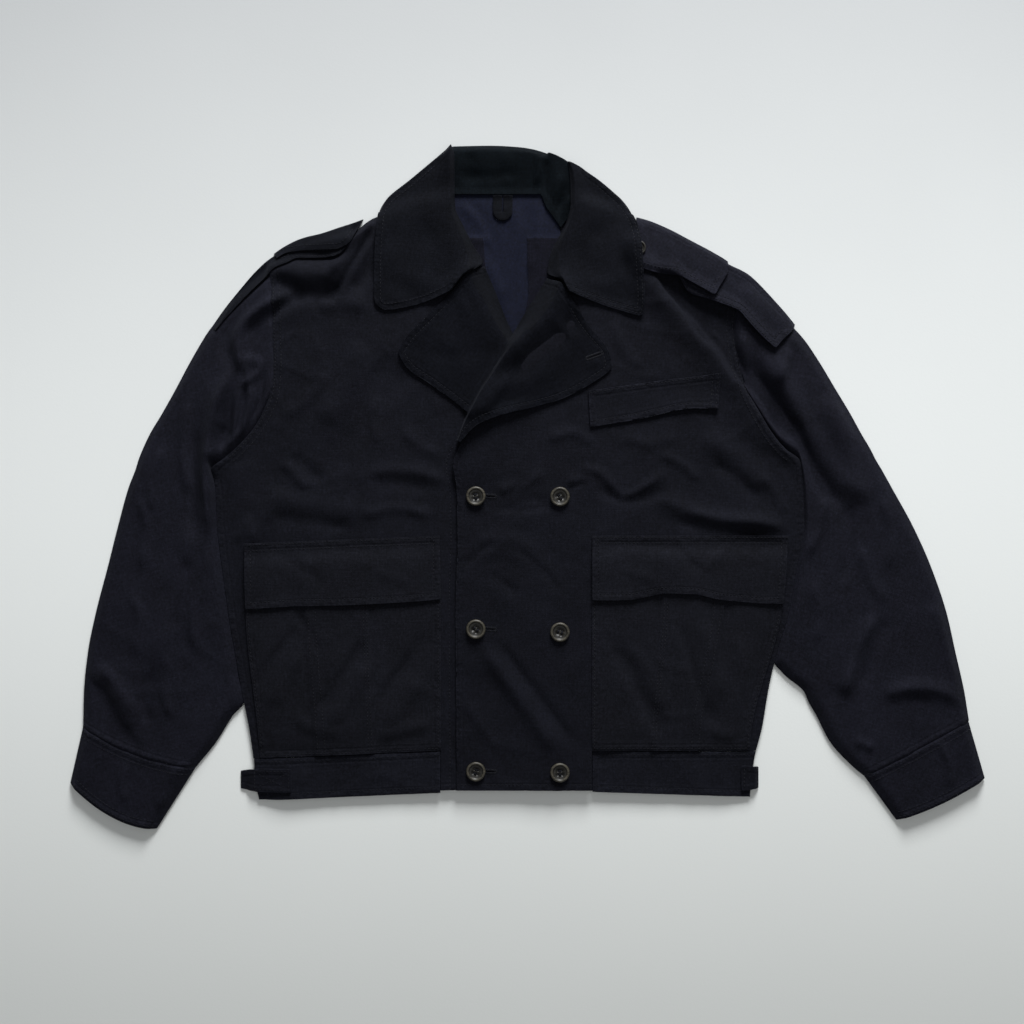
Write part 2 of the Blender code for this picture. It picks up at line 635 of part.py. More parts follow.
# adjuster straps on the hem band, from the end that stands out at the side
TAB_RIGHT = [
    Strap((-295, -292), (-295, -310), 0), Strap((-289, -291), (-289, -311), .8),
    Strap((-284, -290), (-284, -312), 3.8), Strap((-281.5, -290), (-281.5, -312), 4.9),
    Strap((-277, -289), (-277, -313), None), Strap((-260, -289), (-260, -313), None),
    Strap((-242, -289), (-242, -313), None),
]
TAB_LEFT = [
    Strap((219, -286), (219, -311), None), Strap((227, -286), (227, -311), None),
    Strap((232.8, -287), (232.8, -310), 4.9), Strap((234.5, -287), (234.5, -310), 3.6),
    Strap((237.5, -288), (237.5, -309), .6),
]
FREE_TO_FOLD = (0, .08, .28, .5, .72, .9, 1)
FOLD_TO_TUCK = (.35, .7, 1)
ACROSS_PATCH = (0, .12, .3, .5, .75, 1)
ON_CLOTH = .5           # clearance of a piece laid over others
WRAP_SLOPE = 1.3        # how steeply an edge turns down to the surface


def drape(name, lines, lower, thickness, material, foldAt=None, bulge=0.0, wrapRows=0, lift=None,
          reach=8, tuckReach=4):
    """sheet laid on lower pieces; it may swell at its fold, dip beyond it and wrap down at its outer edge"""
    top = upperSurface(lower)
    points = []
    for i, line in enumerate(lines):
        row = []
        for j, (x, y) in enumerate(line):
            z = top(x, y, reach) + ON_CLOTH
            if foldAt is not None:
                fold = line[foldAt]
                if j <= foldAt:
                    z += bulge * blend(1 - hypot(x - fold[0], y - fold[1]) / 34)
                else:
                    crest = row[foldAt][2]
                    end = top(*line[-1], 5) + ON_CLOTH
                    down = (j - foldAt) / (len(line) - 1 - foldAt)
                    z = max(top(x, y, tuckReach) + ON_CLOTH, mix(crest, min(crest, end), blend(down)))
            z += lift(x, y) if lift else 0.0
            if i < wrapRows:
                fromEdge = hypot(x - line[0][0], y - line[0][1])
                z = min(z, WRAP_SLOPE * fromEdge)
            row.append((x, y, z))
        points.append(row)
    return sheet(name, points, thickness, material)


def makeStand(lower):
    lines = stripPoints(STAND, 2, [("outer", "fold", (0, .15, .4, .7, 1)), ("fold", "tuck", (.4, .75, 1))])
    top = upperSurface(lower)
    points = []
    for i, line in enumerate(lines):
        row = []
        for j, (x, y) in enumerate(line):
            rest = top(x, y, 4) + ON_CLOTH
            slope = blend(hypot(x - line[0][0], y - line[0][1]) / 42)
            z = max(rest, CLOTH + ON_CLOTH + 5.0 * slope)
            if i <= 6:
                z = min(z, WRAP_SLOPE * hypot(x - line[-1][0], y - line[-1][1]))
            row.append((x, y, z))
        points.append(row)
    return sheet("collar_stand", points, CLOTH, COLLAR)


def makeStraps(name, table, lower):
    top = upperSurface(lower)
    points = []
    for row in table:
        ends = (row.upper, row.lower)
        zs = [row.height if row.height is not None else top(*end, 4) + ON_CLOTH for end in ends]
        line = [(mix(ends[0][0], ends[1][0], t), mix(ends[0][1], ends[1][1], t), max(zs)) for t in (0, 1)]
        points.append(line)
    return sheet(name, points, POCKET_CLOTH, SHELL)


def makeHangerLoop(lower):
    """tape folded flat in a U, its ends under the collar"""
    centre = (-25.5, 283.0)
    radius, half = 5.2, 4.6
    path = [((centre[0] - radius, y), (1, 0)) for y in (299, 293, 287)]
    path += [((centre[0] - radius * cos(a), centre[1] - radius * sin(a)), (cos(a), sin(a)))
             for a in [pi * k / 8 for k in range(9)]]
    path += [((centre[0] + radius, y), (-1, 0)) for y in (287, 293, 299)]
    top = upperSurface(lower)
    points = []
    for (x, y), (nx, ny) in path:
        points.append([(x + nx * s, y + ny * s, top(x, y, 4) + ON_CLOTH) for s in (-half, half)])
    return sheet("hanger_loop", points, POCKET_CLOTH, INSIDE)


def makeButton(name, x, y, diameter, lower):
    """turned disc with a dished face inside its rim"""
    radius = diameter / 2
    height = BUTTON_HEIGHT * diameter / BUTTON_DIAMETER
    profile = [(0, height * .55), (radius * .55, height * .6), (radius * .78, height),
               (radius * .93, height * .9), (radius, height * .45), (radius * .8, 0), (0, 0)]
    bm = bmesh.new()
    verts = [bm.verts.new((r * MM, 0, z * MM)) for r, z in profile]
    edges = [bm.edges.new(pair) for pair in zip(verts, verts[1:])]
    bmesh.ops.spin(bm, geom=verts + edges, axis=(0, 0, 1), cent=(0, 0, 0), steps=14, angle=2 * pi,
                   use_merge=True)
    bmesh.ops.remove_doubles(bm, verts=bm.verts[:], dist=1e-6)
    button = finish(bm, name, HORN)
    seat = upperSurface(lower)(x, y, radius * .8) + SEAM
    button.location = (x * MM, y * MM, seat * MM)
    return button


def main():
    for thing in list(bpy.data.objects):
        bpy.data.objects.remove(thing)
    jacket = bpy.data.collections.new("jacket")
    bpy.context.scene.collection.children.link(jacket)
    part = bpy.data.objects

    makeBack()
    flatPiece("back_lining", LINING_EDGE, CLOTH + SEAM, LINING, INSIDE)
    flatPiece("collar_back", COLLAR_BACK_EDGE, 0, CLOTH, COLLAR)
    for side in ("right", "left"):
        piece, points, rows, columns = makeFront(side)
        makePocket(side, points, rows, columns)
        makeBand(side, columns)
        place, across, along = sleevePlan(side)
        tube("sleeve_" + side, place, SLEEVE_COLUMNS, along, SLEEVE, 1.0)
        tube("cuff_" + side, cuffPlan(side), SLEEVE_COLUMNS, CUFF_SECTIONS, SLEEVE, 1.2)

    stand = makeStand([part["back"], part["back_lining"], part["collar_back"], part["front_left"]])
    lapelSpans = [("outer", "fold", FREE_TO_FOLD), ("fold", "tuck", FOLD_TO_TUCK)]
    foldAt = len(FREE_TO_FOLD) - 1
    inside = [part["back"], part["back_lining"], part["collar_back"], stand]
    drape("lapel_right", stripPoints(LAPEL_RIGHT, 2, lapelSpans), inside + [part["front_right"]],
          CLOTH, COLLAR, foldAt, 1.5)
    drape("lapel_left", stripPoints(LAPEL_LEFT, 2, lapelSpans),
          inside + [part["front_right"], part["lapel_right"], part["front_left"]], CLOTH, COLLAR, foldAt, 3.0,
          lift=lambda x, y: 5.0 * blend(1 - hypot(x + 38, y - 66) / 60))
    patchSpans = [("outer", "inner", ACROSS_PATCH)]
    saddles = {"right": SADDLE_RIGHT, "left": SADDLE_LEFT}
    epaulettes = {"right": EPAULETTE_RIGHT, "left": EPAULETTE_LEFT}
    for side in ("right", "left"):
        body = [part["front_" + side], part["sleeve_" + side]]
        saddle = drape("saddle_" + side, stripPoints(saddles[side], 2, patchSpans), body, CLOTH, SHELL,
                       wrapRows=99, reach=6.5)
        drape("epaulette_" + side, stripPoints(epaulettes[side], 2, patchSpans), body + [saddle],
              CLOTH, SHELL, wrapRows=99)
    shoulder = [part["front_left"], part["saddle_left"], part["epaulette_left"]]
    makeButton("shoulder_button_left", *SHOULDER_BUTTON, SHOULDER_BUTTON_DIAMETER, shoulder)
    drape("collar_right", stripPoints(WING_RIGHT, 2, lapelSpans),
          inside + [part["front_right"], part["lapel_right"], part["epaulette_right"]], CLOTH, COLLAR, foldAt,
          3.0, wrapRows=8, tuckReach=8,
          lift=lambda x, y: 1.6 * blend(1.6 - hypot(x - SHOULDER_BUTTON[0], y - SHOULDER_BUTTON[1]) / 16))
    drape("collar_left", stripPoints(WING_LEFT, 2, lapelSpans),
          inside + shoulder + [part["lapel_left"], part["shoulder_button_left"]], CLOTH, COLLAR, foldAt,
          3.0, wrapRows=8, tuckReach=8,
          lift=lambda x, y: 1.6 * blend(1.6 - hypot(x - SHOULDER_BUTTON[0], y - SHOULDER_BUTTON[1]) / 16))
    drape("chest_flap", stripPoints(CHEST_FLAP, 2, patchSpans), [part["front_left"]], CLOTH, SHELL)
    makeStraps("side_tab_right", TAB_RIGHT, [part["band_right"]])
    makeStraps("side_tab_left", TAB_LEFT, [part["band_left"]])
    makeHangerLoop([part["back_lining"]])
    for k, y in enumerate(BUTTON_ROWS):
        for name, x in zip(("outer", "inner"), BUTTON_COLUMNS):
            makeButton(f"button_{name}_{k + 1}", x, y, BUTTON_DIAMETER, [part["front_left"]])


main()
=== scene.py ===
import math
import bpy
import bmesh
import numpy as np
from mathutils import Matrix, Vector


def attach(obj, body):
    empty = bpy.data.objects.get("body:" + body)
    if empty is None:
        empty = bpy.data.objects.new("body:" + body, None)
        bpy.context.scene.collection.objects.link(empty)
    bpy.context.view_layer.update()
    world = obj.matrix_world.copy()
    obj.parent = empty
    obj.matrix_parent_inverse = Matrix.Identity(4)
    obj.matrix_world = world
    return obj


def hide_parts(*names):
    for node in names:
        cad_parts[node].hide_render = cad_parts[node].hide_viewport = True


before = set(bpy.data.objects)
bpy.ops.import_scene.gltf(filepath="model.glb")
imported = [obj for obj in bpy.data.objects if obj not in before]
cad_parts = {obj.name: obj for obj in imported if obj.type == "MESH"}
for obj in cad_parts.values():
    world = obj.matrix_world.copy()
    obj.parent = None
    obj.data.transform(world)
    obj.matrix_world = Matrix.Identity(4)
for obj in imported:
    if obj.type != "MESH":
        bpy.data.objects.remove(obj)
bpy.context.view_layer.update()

# Short double-breasted jacket, laid flat. Sizes in millimetres, turned into metres where a mesh is made.
mm = 0.001

jacket = {
    "cloth": 2.0,            # shell with its facing
    "pocketCloth": 1.6,
    "seam": 0.3,
    "loft": 3.0,             # how far the upper layer rises off the lower one
    "clear": 0.25,           # gap under a piece laid over others
    "sideRoll": 31.0,        # width of the rise beside the side seam
    "hem": -271.0,
    "armStart": -14.0,       # above this the rows fan out to the shoulder
}
stitching = {"length": 2.7, "gap": 1.0, "width": 0.62, "height": 0.42}
farFromSeam = 60.0

outline = {
    "y": [-320, -300, -278, -246, -210, -170, -130, -80, -40, 0, 18, 28, 38, 55, 75, 100, 130, 165, 195,
          222, 240],
    "bodyRight": [-276, -280, -281, -285, -292, -299, -306, -313, -318, -321, -324, -313, -301, -285, -272,
                  -263, -261, -262, -262, -264, -265],
    "bodyLeft": [228, 230, 233, 241, 247, 256, 268, 277, 284, 283, 281, 279, 265, 250, 238, 226, 217, 213,
                 216, 225, 226],
    "armRight": [-476, -470, -463, -457, -456, -452, -444, -431, -421, -410, -403, -400, -396, -388, -376,
                 -362, -346, -325, -303, -279, -263],
    "armLeft": [474, 468, 464, 455, 449, 440, 431, 414, 396, 374, 364, 358, 353, 343, 332, 317, 299, 275,
                250, 226, 205],
}
fronts = {
    "right": {
        "y": [-311, -277, -125, -57, 0, 30, 60, 120, 138, 152, 170, 197, 222, 262, 296],
        "pocketOuter": [-275, -275, -289, -290, -292, -284, -264, -248, -243, -241, -240, -238, -236, -230,
                        -225],
        "pocketInner": [-89, -89, -89, -90, -94, -98, -102, -108, -110, -111, -112, -114, -116, -120, -120],
        "edge": [64, 64, 64, 64, 64, 64, 46, -4, -17, -28, -41, -55, -65, -77, -84],
    },
    "left": {
        "y": [-311, -270, -125, -50, 0, 20, 45, 73, 110, 145, 172, 200, 225, 262, 292],
        "pocketOuter": [228, 228, 261, 267, 266, 264, 244, 228, 212, 205, 200, 200, 205, 205, 205],
        "pocketInner": [66, 66, 66, 66, 67, 68, 70, 74, 80, 84, 90, 96, 98, 98, 98],
        "edge": [-73, -73, -74, -72, -73, -77, -68, -55, -35, -11, 18, 33, 37, 44, 52],
    },
}
shoulders = {
    "right": {"x": [-266, -252, -240, -215, -200, -182, -172, -163, -153, -120, -82],
              "y": [226, 234, 241, 248, 253, 259, 266, 273, 278, 288, 294]},
    "left": {"x": [48, 80, 107, 126, 147, 167, 188, 209, 226],
             "y": [293, 282, 271, 264, 255, 244, 233, 221, 213]},
}
armTip = {"right": 226.0, "left": 213.0}
neckTip = {"right": 294.0, "left": 292.0}
outwards = {"right": -1, "left": 1}

# Large folds, shared with the construction model: height, width and path. A negative height is a trough.
folds = [
    (3.0, 12, ((104, 236), (130, 200), (155, 165), (185, 130), (212, 96), (232, 62), (256, 30))),
    (6.0, 10, ((-312, 112), (-322, 78), (-329, 38), (-330, 0), (-326, -50))),
    (-3.0, 9, ((-318, 42), (-308, 60))),
    (5.0, 12, ((-340, -30), (-352, -90), (-372, -150), (-385, -190))),
    (4.0, 9, ((-440, -205), (-428, -196), (-404, -248))),
    (-2.5, 12, ((240, 108), (268, 66), (290, 30), (306, 0), (322, -22))),
    (6.0, 13, ((300, 96), (318, 60), (334, 20), (342, -20))),
    (4.5, 10, ((352, -130), (334, -170), (322, -215))),
    (4.0, 9, ((365, -214), (400, -206), (440, -211))),
    (3.0, 12, ((-260, -14), (-215, -20), (-170, -28))),
    (3.5, 9, ((-288, -56), (-266, -28), (-254, 2))),
    (3.0, 12, ((-170, 150), (-186, 100), (-212, 66))),
    (3.5, 10, ((135, -10), (166, -26), (202, -34), (264, -38))),
    (3.0, 11, ((178, 52), (214, 30), (246, 0))),
    (3.0, 10, ((-44, -165), (-20, -200), (6, -236), (30, -272))),
    (.8, 9, ((-58, -76), (-38, -66), (0, -71), (30, -95))),
    (2.5, 10, ((160, -140), (176, -180), (186, -230))),
    (2.5, 10, ((-185, -168), (-200, -214), (-211, -250))),
]

# Gathered cloth at the shoulders and sleeve heads, deep and one-sided.
shoulderFolds = [
    (5.5, 24, ((-136, 262), (-185, 226), (-235, 206), (-285, 170), (-304, 120), (-312, 60))),
    (5.5, 24, ((104, 240), (150, 196), (200, 160), (232, 120), (262, 70), (300, 10))),
    (2.6, 4, ((112, 240), (126, 218), (136, 204), (149, 187), (161, 175), (178, 150), (192, 136), (204, 117),
              (223, 97), (239, 74), (252, 49), (266, 33), (284, 24)), 1),
    (-5.5, 6, ((118, 238), (132, 219), (144, 203), (157, 188), (171, 176), (184, 158), (199, 141), (212, 121),
               (231, 100), (247, 77), (260, 53), (276, 36)), -1),
    (-8.5, 11, ((132, 214), (154, 200), (172, 185), (190, 173), (206, 163), (212, 146))),
    (-4.0, 12, ((160, 184), (186, 160), (212, 134), (236, 104), (258, 76), (280, 46))),
    (-2.6, 2.6, ((155, 184), (163, 173), (170, 164), (179, 153), (190, 146))),
    (2.6, 4, ((162, 184), (174, 172), (188, 160), (200, 146), (208, 130))),
    (-4.0, 3.4, ((212, 166), (213, 146), (217, 129), (222, 109), (230, 91), (246, 70), (262, 50))),
    (-5.0, 8, ((230, 152), (233, 126), (241, 104), (258, 78), (275, 48), (291, 20), (308, -6), (325, -22))),
    (3.0, 10, ((250, 140), (258, 112), (274, 84), (292, 54), (308, 26), (324, 4), (340, -10))),
    (-2.6, 3.4, ((244, 96), (262, 76), (276, 62), (286, 40), (296, 16))),
    (3.4, 6, ((276, 160), (266, 138), (259, 118), (255, 100))),
    (6.0, 7, ((-272, 227), (-256, 241), (-236, 250), (-208, 260), (-180, 272))),
    (-5.5, 6, ((-262, 233), (-248, 236), (-222, 237), (-196, 238), (-180, 248))),
    (3.0, 8, ((-274, 217), (-248, 222), (-222, 219), (-198, 218))),
    (-6.5, 9, ((-262, 213), (-240, 203), (-222, 198), (-205, 197), (-192, 206))),
    (-6.0, 6, ((-208, 196), (-193, 205), (-184, 220), (-174, 236), (-165, 252), (-158, 268)), 1),
    (4.5, 6, ((-154, 282), (-159, 274), (-171, 262), (-184, 245), (-194, 229), (-204, 216))),
    (4.4, 5, ((-152, 270), (-156, 261), (-167, 239), (-180, 218), (-190, 200), (-198, 188))),
    (-4.0, 7, ((-150, 250), (-158, 228), (-168, 212), (-178, 200))),
    (3.0, 9, ((-216, 184), (-200, 190), (-184, 190), (-166, 184))),
    (-5.0, 7, ((-226, 199), (-250, 186), (-270, 170), (-290, 156))),
    (5.0, 5, ((-246, 196), (-262, 188), (-281, 177), (-293, 163), (-297, 152), (-296, 138), (-291, 124),
              (-284, 116))),
    (-4.0, 7, ((-272, 196), (-290, 182), (-303, 166), (-309, 148), (-306, 126))),
    (-2.2, 6, ((-268, 160), (-281, 150), (-284, 138), (-278, 132))),
    (3.4, 3.4, ((-291, 131), (-285, 131), (-276, 128), (-272, 121), (-277, 113), (-288, 107), (-294, 104))),
    (-3.4, 2.8, ((-289, 108), (-289, 96), (-291, 84), (-294, 66), (-298, 54))),
    (3.4, 3.6, ((-285, 106), (-284, 92), (-286, 80), (-291, 60), (-298, 46))),
    (-4.0, 3.2, ((-271, 124), (-272, 104), (-274, 88), (-281, 70), (-290, 54))),
    (5.0, 6, ((-304, 124), (-309, 108), (-316, 90), (-322, 68), (-328, 40), (-330, 10), (-327, -30)), -1),
    (-4.0, 5, ((-299, 118), (-302, 92), (-306, 66), (-314, 42), (-320, 24))),
    (2.4, 3, ((-297, 100), (-299, 76), (-301, 52), (-306, 38))),
    (-3.0, 17, ((-132, 130), (-160, 86), (-188, 44), (-206, 10))),
    (-2.4, 6, ((-80, 44), (-79, -20), (-80, -120), (-80, -220), (-79, -306))),
]

# Smaller creases, only in the cloth: height, width and path.
creases = [
    (1.7, 5, ((-172, -28), (-130, -22), (-98, -30))),
    (-1.2, 7, ((-262, -30), (-222, -36), (-180, -42))),
    (1.6, 4, ((-300, -56), (-290, -40), (-284, -30))),
    (1.8, 5, ((-252, 26), (-238, 12), (-224, -2))),
    (-1.4, 6, ((-240, 34), (-226, 18), (-208, 6))),
    (1.8, 6, ((-162, 14), (-135, 17), (-108, 14), (-82, 5))),
    (-1.2, 7, ((-158, 2), (-130, 3), (-100, -3))),
    (1.4, 6, ((-205, 118), (-222, 92), (-250, 72))),
    (1.2, 5, ((-150, 96), (-160, 70), (-152, 44))),
    (1.3, 6, ((-128, 60), (-112, 42), (-92, 34))),
    (-2.3, 6, ((-282, -208), (-266, -180), (-250, -158), (-236, -140)), 1),
    (1.4, 6, ((-262, -224), (-248, -196), (-232, -170))),
    (-2.8, 6, ((-216, -228), (-200, -204), (-184, -180), (-168, -152)), 1),
    (1.5, 6, ((-200, -244), (-184, -216), (-164, -184))),
    (-2.3, 6, ((-158, -226), (-142, -200), (-124, -176), (-108, -148)), 1),
    (1.4, 6, ((-146, -248), (-128, -222), (-110, -196))),
    (-1.6, 4, ((-238, -128), (-222, -150), (-214, -172))),
    (1.5, 5, ((-152, -256), (-128, -248), (-100, -243))),
    (1.3, 5, ((-240, -232), (-222, -246), (-190, -252))),
    (1.8, 4, ((55, 20), (75, 14), (88, 0), (100, -10), (125, 4), (142, 15))),
    (-1.6, 6, ((70, 2), (92, -12), (120, -12), (142, -2))),
    (1.6, 5, ((136, 34), (160, 22), (176, 6))),
    (-1.4, 6, ((190, 24), (214, 10), (236, -14))),
    (1.5, 5, ((240, 12), (256, -10), (264, -28))),
    (2.0, 5, ((166, -25), (200, -33), (236, -36), (268, -44))),
    (-1.5, 6, ((150, -34), (196, -45), (246, -48))),
    (-1.3, 4, ((-66, -82), (-50, -68), (-32, -55))),
    (-1.1, 2.6, ((-12, -60), (2, -72), (14, -82), (24, -94), (37, -108)), 1),
    (-1.0, 3, ((-38, -86), (-22, -98), (-8, -110)), 1),
    (1.1, 8, ((-52, -58), (-20, -54), (10, -64))),
    (-.9, 3, ((-38, -23), (-6, -24), (30, -20))),
    (-1.1, 4, ((-22, -8), (-8, 2), (4, 11))),
    (-1.1, 3, ((40, -2), (52, 3), (66, 5))),
    (1.2, 6, ((-46, -163), (-22, -198), (4, -234), (29, -274))),
    (-1.8, 5, ((-30, -160), (-4, -196), (24, -232), (44, -262))),
    (1.2, 5, ((-62, -222), (-46, -248), (-30, -268))),
    (1.6, 5, ((-31, -5), (-12, 1), (2, 6), (16, 15))),
    (1.4, 5, ((40, 5), (52, 7), (66, 4))),
    (-1.0, 6, ((-24, -22), (4, -14), (24, -16))),
    (-3.0, 6, ((86, -166), (100, -190), (116, -222), (134, -256)), -1),
    (1.4, 6, ((104, -160), (122, -190), (140, -230))),
    (-3.2, 6, ((154, -140), (162, -168), (174, -206), (184, -248)), -1),
    (1.5, 6, ((176, -136), (188, -170), (198, -214))),
    (1.3, 5, ((186, -250), (198, -253), (212, -255))),
    (1.2, 5, ((210, -150), (222, -180), (224, -214))),
    (1.3, 5, ((20, 48), (46, 56), (66, 44))),
    (1.2, 6, ((96, 52), (124, 44), (150, 52))),
    (1.2, 6, ((88, 170), (98, 140), (116, 122))),
]
sleeveCreases = [
    (2.2, 4, ((-328, 40), (-318, 16), (-324, -10))),
    (-2.2, 5, ((-304, 102), (-312, 74), (-316, 44))),
    (1.8, 5, ((-346, 88), (-352, 60), (-352, 26), (-346, -8))),
    (-1.5, 7, ((-338, 60), (-342, 24), (-340, -20), (-344, -60))),
    (1.7, 5, ((-374, 40), (-384, 10), (-386, -26))),
    (1.6, 5, ((-398, -10), (-390, -40), (-396, -84))),
    (1.9, 5, ((-326, -60), (-330, -96), (-342, -132), (-340, -170))),
    (-1.6, 6, ((-346, -70), (-356, -110), (-366, -150))),
    (1.5, 5, ((-404, -110), (-396, -140), (-404, -172))),
    (1.7, 4, ((-366, -172), (-372, -204), (-366, -236))),
    (-1.4, 5, ((-384, -190), (-392, -216), (-388, -244))),
    (-1.3, 7, ((-456, -196), (-440, -204), (-426, -222), (-410, -250), (-396, -276)), 1),
    (1.8, 6, ((-440, -184), (-420, -200), (-400, -236))),
    (1.6, 5, ((-356, -286), (-370, -304), (-376, -330))),
    (1.3, 4, ((-410, -282), (-416, -300), (-412, -322))),
    (2.2, 5, ((268, 140), (262, 122), (256, 108))),
    (1.6, 5, ((306, -10), (298, -44), (286, -70))),
    (-1.4, 7, ((326, -18), (330, -60), (322, -100))),
    (1.7, 5, ((362, -10), (372, -44), (370, -84))),
    (1.6, 5, ((340, -60), (350, -92), (366, -118))),
    (1.8, 5, ((354, -130), (346, -148), (334, -170), (322, -214))),
    (-1.9, 6, ((348, -126), (336, -160), (320, -196), (312, -224))),
    (-1.5, 6, ((368, -134), (356, -168), (342, -206))),
    (1.4, 4, ((362, -212), (382, -206), (402, -204), (426, -210), (442, -222))),
    (-.9, 4, ((368, -222), (394, -216), (418, -220))),
    (1.8, 4, ((335, -260), (345, -263), (355, -268))),
    (1.6, 5, ((414, -120), (424, -146), (431, -170), (440, -200))),
    (1.4, 5, ((290, -96), (300, -130), (296, -160))),
    (1.3, 4, ((420, -260), (432, -284), (434, -308))),
]

jacketGroup = bpy.data.collections.new("Jacket")
sewingGroup = bpy.data.collections.new("Sewing")
setGroup = bpy.data.collections.new("Set")
for group in (jacketGroup, sewingGroup, setGroup):
    bpy.context.scene.collection.children.link(group)


# Curves and noise

def ease(t):
    t = np.clip(t, 0.0, 1.0)
    return t * t * (3 - 2 * t)


def mix(a, b, t):
    return a + (b - a) * t


def pairs(x, y):
    return np.stack([x, y], axis=1)


def curve(xs, ys, at):  # smooth curve through points, without overshoot
    order = np.argsort(xs)
    xs = np.array(xs, float)[order]
    ys = np.array(ys, float)[order]
    slope = np.diff(ys) / np.diff(xs)
    before, after = slope[:-1], slope[1:]
    same = before * after > 0
    middle = np.where(same, 2 * before * after / np.where(same, before + after, 1), 0)
    tangent = np.concatenate([slope[:1], middle, slope[-1:]])
    at = np.clip(np.asarray(at, float), xs[0], xs[-1])
    k = np.clip(np.searchsorted(xs, at, side="right") - 1, 0, len(xs) - 2)
    h = xs[k + 1] - xs[k]
    t = (at - xs[k]) / h
    return ((2 * t**3 - 3 * t**2 + 1) * ys[k] + (t**3 - 2 * t**2 + t) * h * tangent[k]
            + (3 * t**2 - 2 * t**3) * ys[k + 1] + (t**3 - t**2) * h * tangent[k + 1])


def fromPath(path, x, y, signed=False):  # distance from a path and place along it; positive on its left
    path = np.array(path, float)
    lengths = np.hypot(*np.diff(path, axis=0).T)
    best = np.full(np.shape(x), 1e9)
    place = np.zeros(np.shape(x))
    left = np.ones(np.shape(x))
    start = 0.0
    for a, b, length in zip(path, path[1:], lengths):
        t = np.clip(((x - a[0]) * (b[0] - a[0]) + (y - a[1]) * (b[1] - a[1])) / length**2, 0, 1)
        away = np.hypot(x - mix(a[0], b[0], t), y - mix(a[1], b[1], t))
        nearer = away < best
        best = np.where(nearer, away, best)
        place = np.where(nearer, (start + t * length) / lengths.sum(), place)
        if signed:
            cross = (b[0] - a[0]) * (y - a[1]) - (b[1] - a[1]) * (x - a[0])
            left = np.where(nearer, np.where(cross >= 0, 1.0, -1.0), left)
        start += length
    return (best * left if signed else best), place


def roundPath(path, step):  # the same path with smooth bends
    path = np.array(path, float)
    k = np.arange(len(path))
    reach = np.hypot(*np.diff(path, axis=0).T).sum()
    at = np.linspace(0, len(path) - 1, max(3, int(reach / step)))
    if len(path) < 3:
        return pairs(np.interp(at, k, path[:, 0]), np.interp(at, k, path[:, 1]))
    tangent = np.gradient(path, axis=0)
    i = np.clip(at.astype(int), 0, len(path) - 2)
    t = (at - i)[:, None]
    return ((2 * t**3 - 3 * t**2 + 1) * path[i] + (t**3 - 2 * t**2 + t) * tangent[i]
            + (3 * t**2 - 2 * t**3) * path[i + 1] + (t**3 - t**2) * tangent[i + 1])


def foldLift(x, y, items):
    # height, width and path of each fold; a fourth value makes it steep to the path's left (1) or right (-1)
    lift = np.zeros(np.shape(x))
    for height, width, path, *steep in items:
        path = np.array(path, float)
        low = path.min(axis=0) - 6 * width
        high = path.max(axis=0) + 6 * width
        near = (x > low[0]) & (x < high[0]) & (y > low[1]) & (y < high[1])
        if not near.any():
            continue
        away, t = fromPath(roundPath(path, 8), x[near], y[near], signed=bool(steep))
        if steep:
            width = np.where(away * steep[0] > 0, width * .55, width * 2.2)
        ends = ease(t / .22 + .25) * ease((1 - t) / .22 + .25)
        ends = ends * (1 + .18 * np.sin(9 * t + height * 4))     # uneven along its length
        lift[near] += height * ends * np.exp(-(away / width)**2)
    return lift


def noise(x, y, cell, seed):  # smooth value noise from -1 to 1
    random = np.random.default_rng(seed).uniform(-1, 1, (64, 64))
    u = np.asarray(x) / cell + 1000.37
    v = np.asarray(y) / cell + 1000.71
    i, j = np.floor(u).astype(int), np.floor(v).astype(int)
    s, t = ease(u - i), ease(v - j)
    a = mix(random[i % 64, j % 64], random[(i + 1) % 64, j % 64], s)
    b = mix(random[i % 64, (j + 1) % 64], random[(i + 1) % 64, (j + 1) % 64], s)
    return mix(a, b, t)


def wrinkle(x, y, seed, amount):  # low uneven lie of pressed cotton
    wide = .55 * noise(x, y, 74, seed) + .26 * noise(x + .4 * y, y, 31, seed + 1)
    warpX = x + 16 * noise(x, y, 55, seed + 3)
    warpY = y + 16 * noise(x, y, 48, seed + 4)
    line = 1 - np.abs(noise(warpX, warpY, 43, seed + 2))
    where = ease(noise(x, y, 90, seed + 5) * 1.6 + .35)
    small = 1 - np.abs(noise(x + .6 * warpY, y - .5 * warpX, 17, seed + 7))
    here = ease(noise(x, y, 62, seed + 8) * 1.7 + .45)
    fine = .12 * noise(x, y, 10, seed + 6) + .05 * noise(x, y, 5, seed + 9)
    return amount * (wide + .55 * where * line**7 + .26 * here * small**5 + fine)


# Pile: height of everything laid so far, one value a millimetre

pileX, pileY = -490.0, -370.0
pile = np.zeros((731, 981))


def sample(field, x, y):
    u = np.clip(np.asarray(x, float) - pileX, 0, field.shape[1] - 1.001)
    v = np.clip(np.asarray(y, float) - pileY, 0, field.shape[0] - 1.001)
    i, j = v.astype(int), u.astype(int)
    s, t = u - j, v - i
    return mix(mix(field[i, j], field[i, j + 1], s), mix(field[i + 1, j], field[i + 1, j + 1], s), t)


def widen(field, times):
    out = field.copy()
    for _ in range(times):
        out[1:] = np.maximum(out[1:], out[:-1])
        out[:-1] = np.maximum(out[:-1], out[1:])
        out[:, 1:] = np.maximum(out[:, 1:], out[:, :-1])
        out[:, :-1] = np.maximum(out[:, :-1], out[:, 1:])
    return out


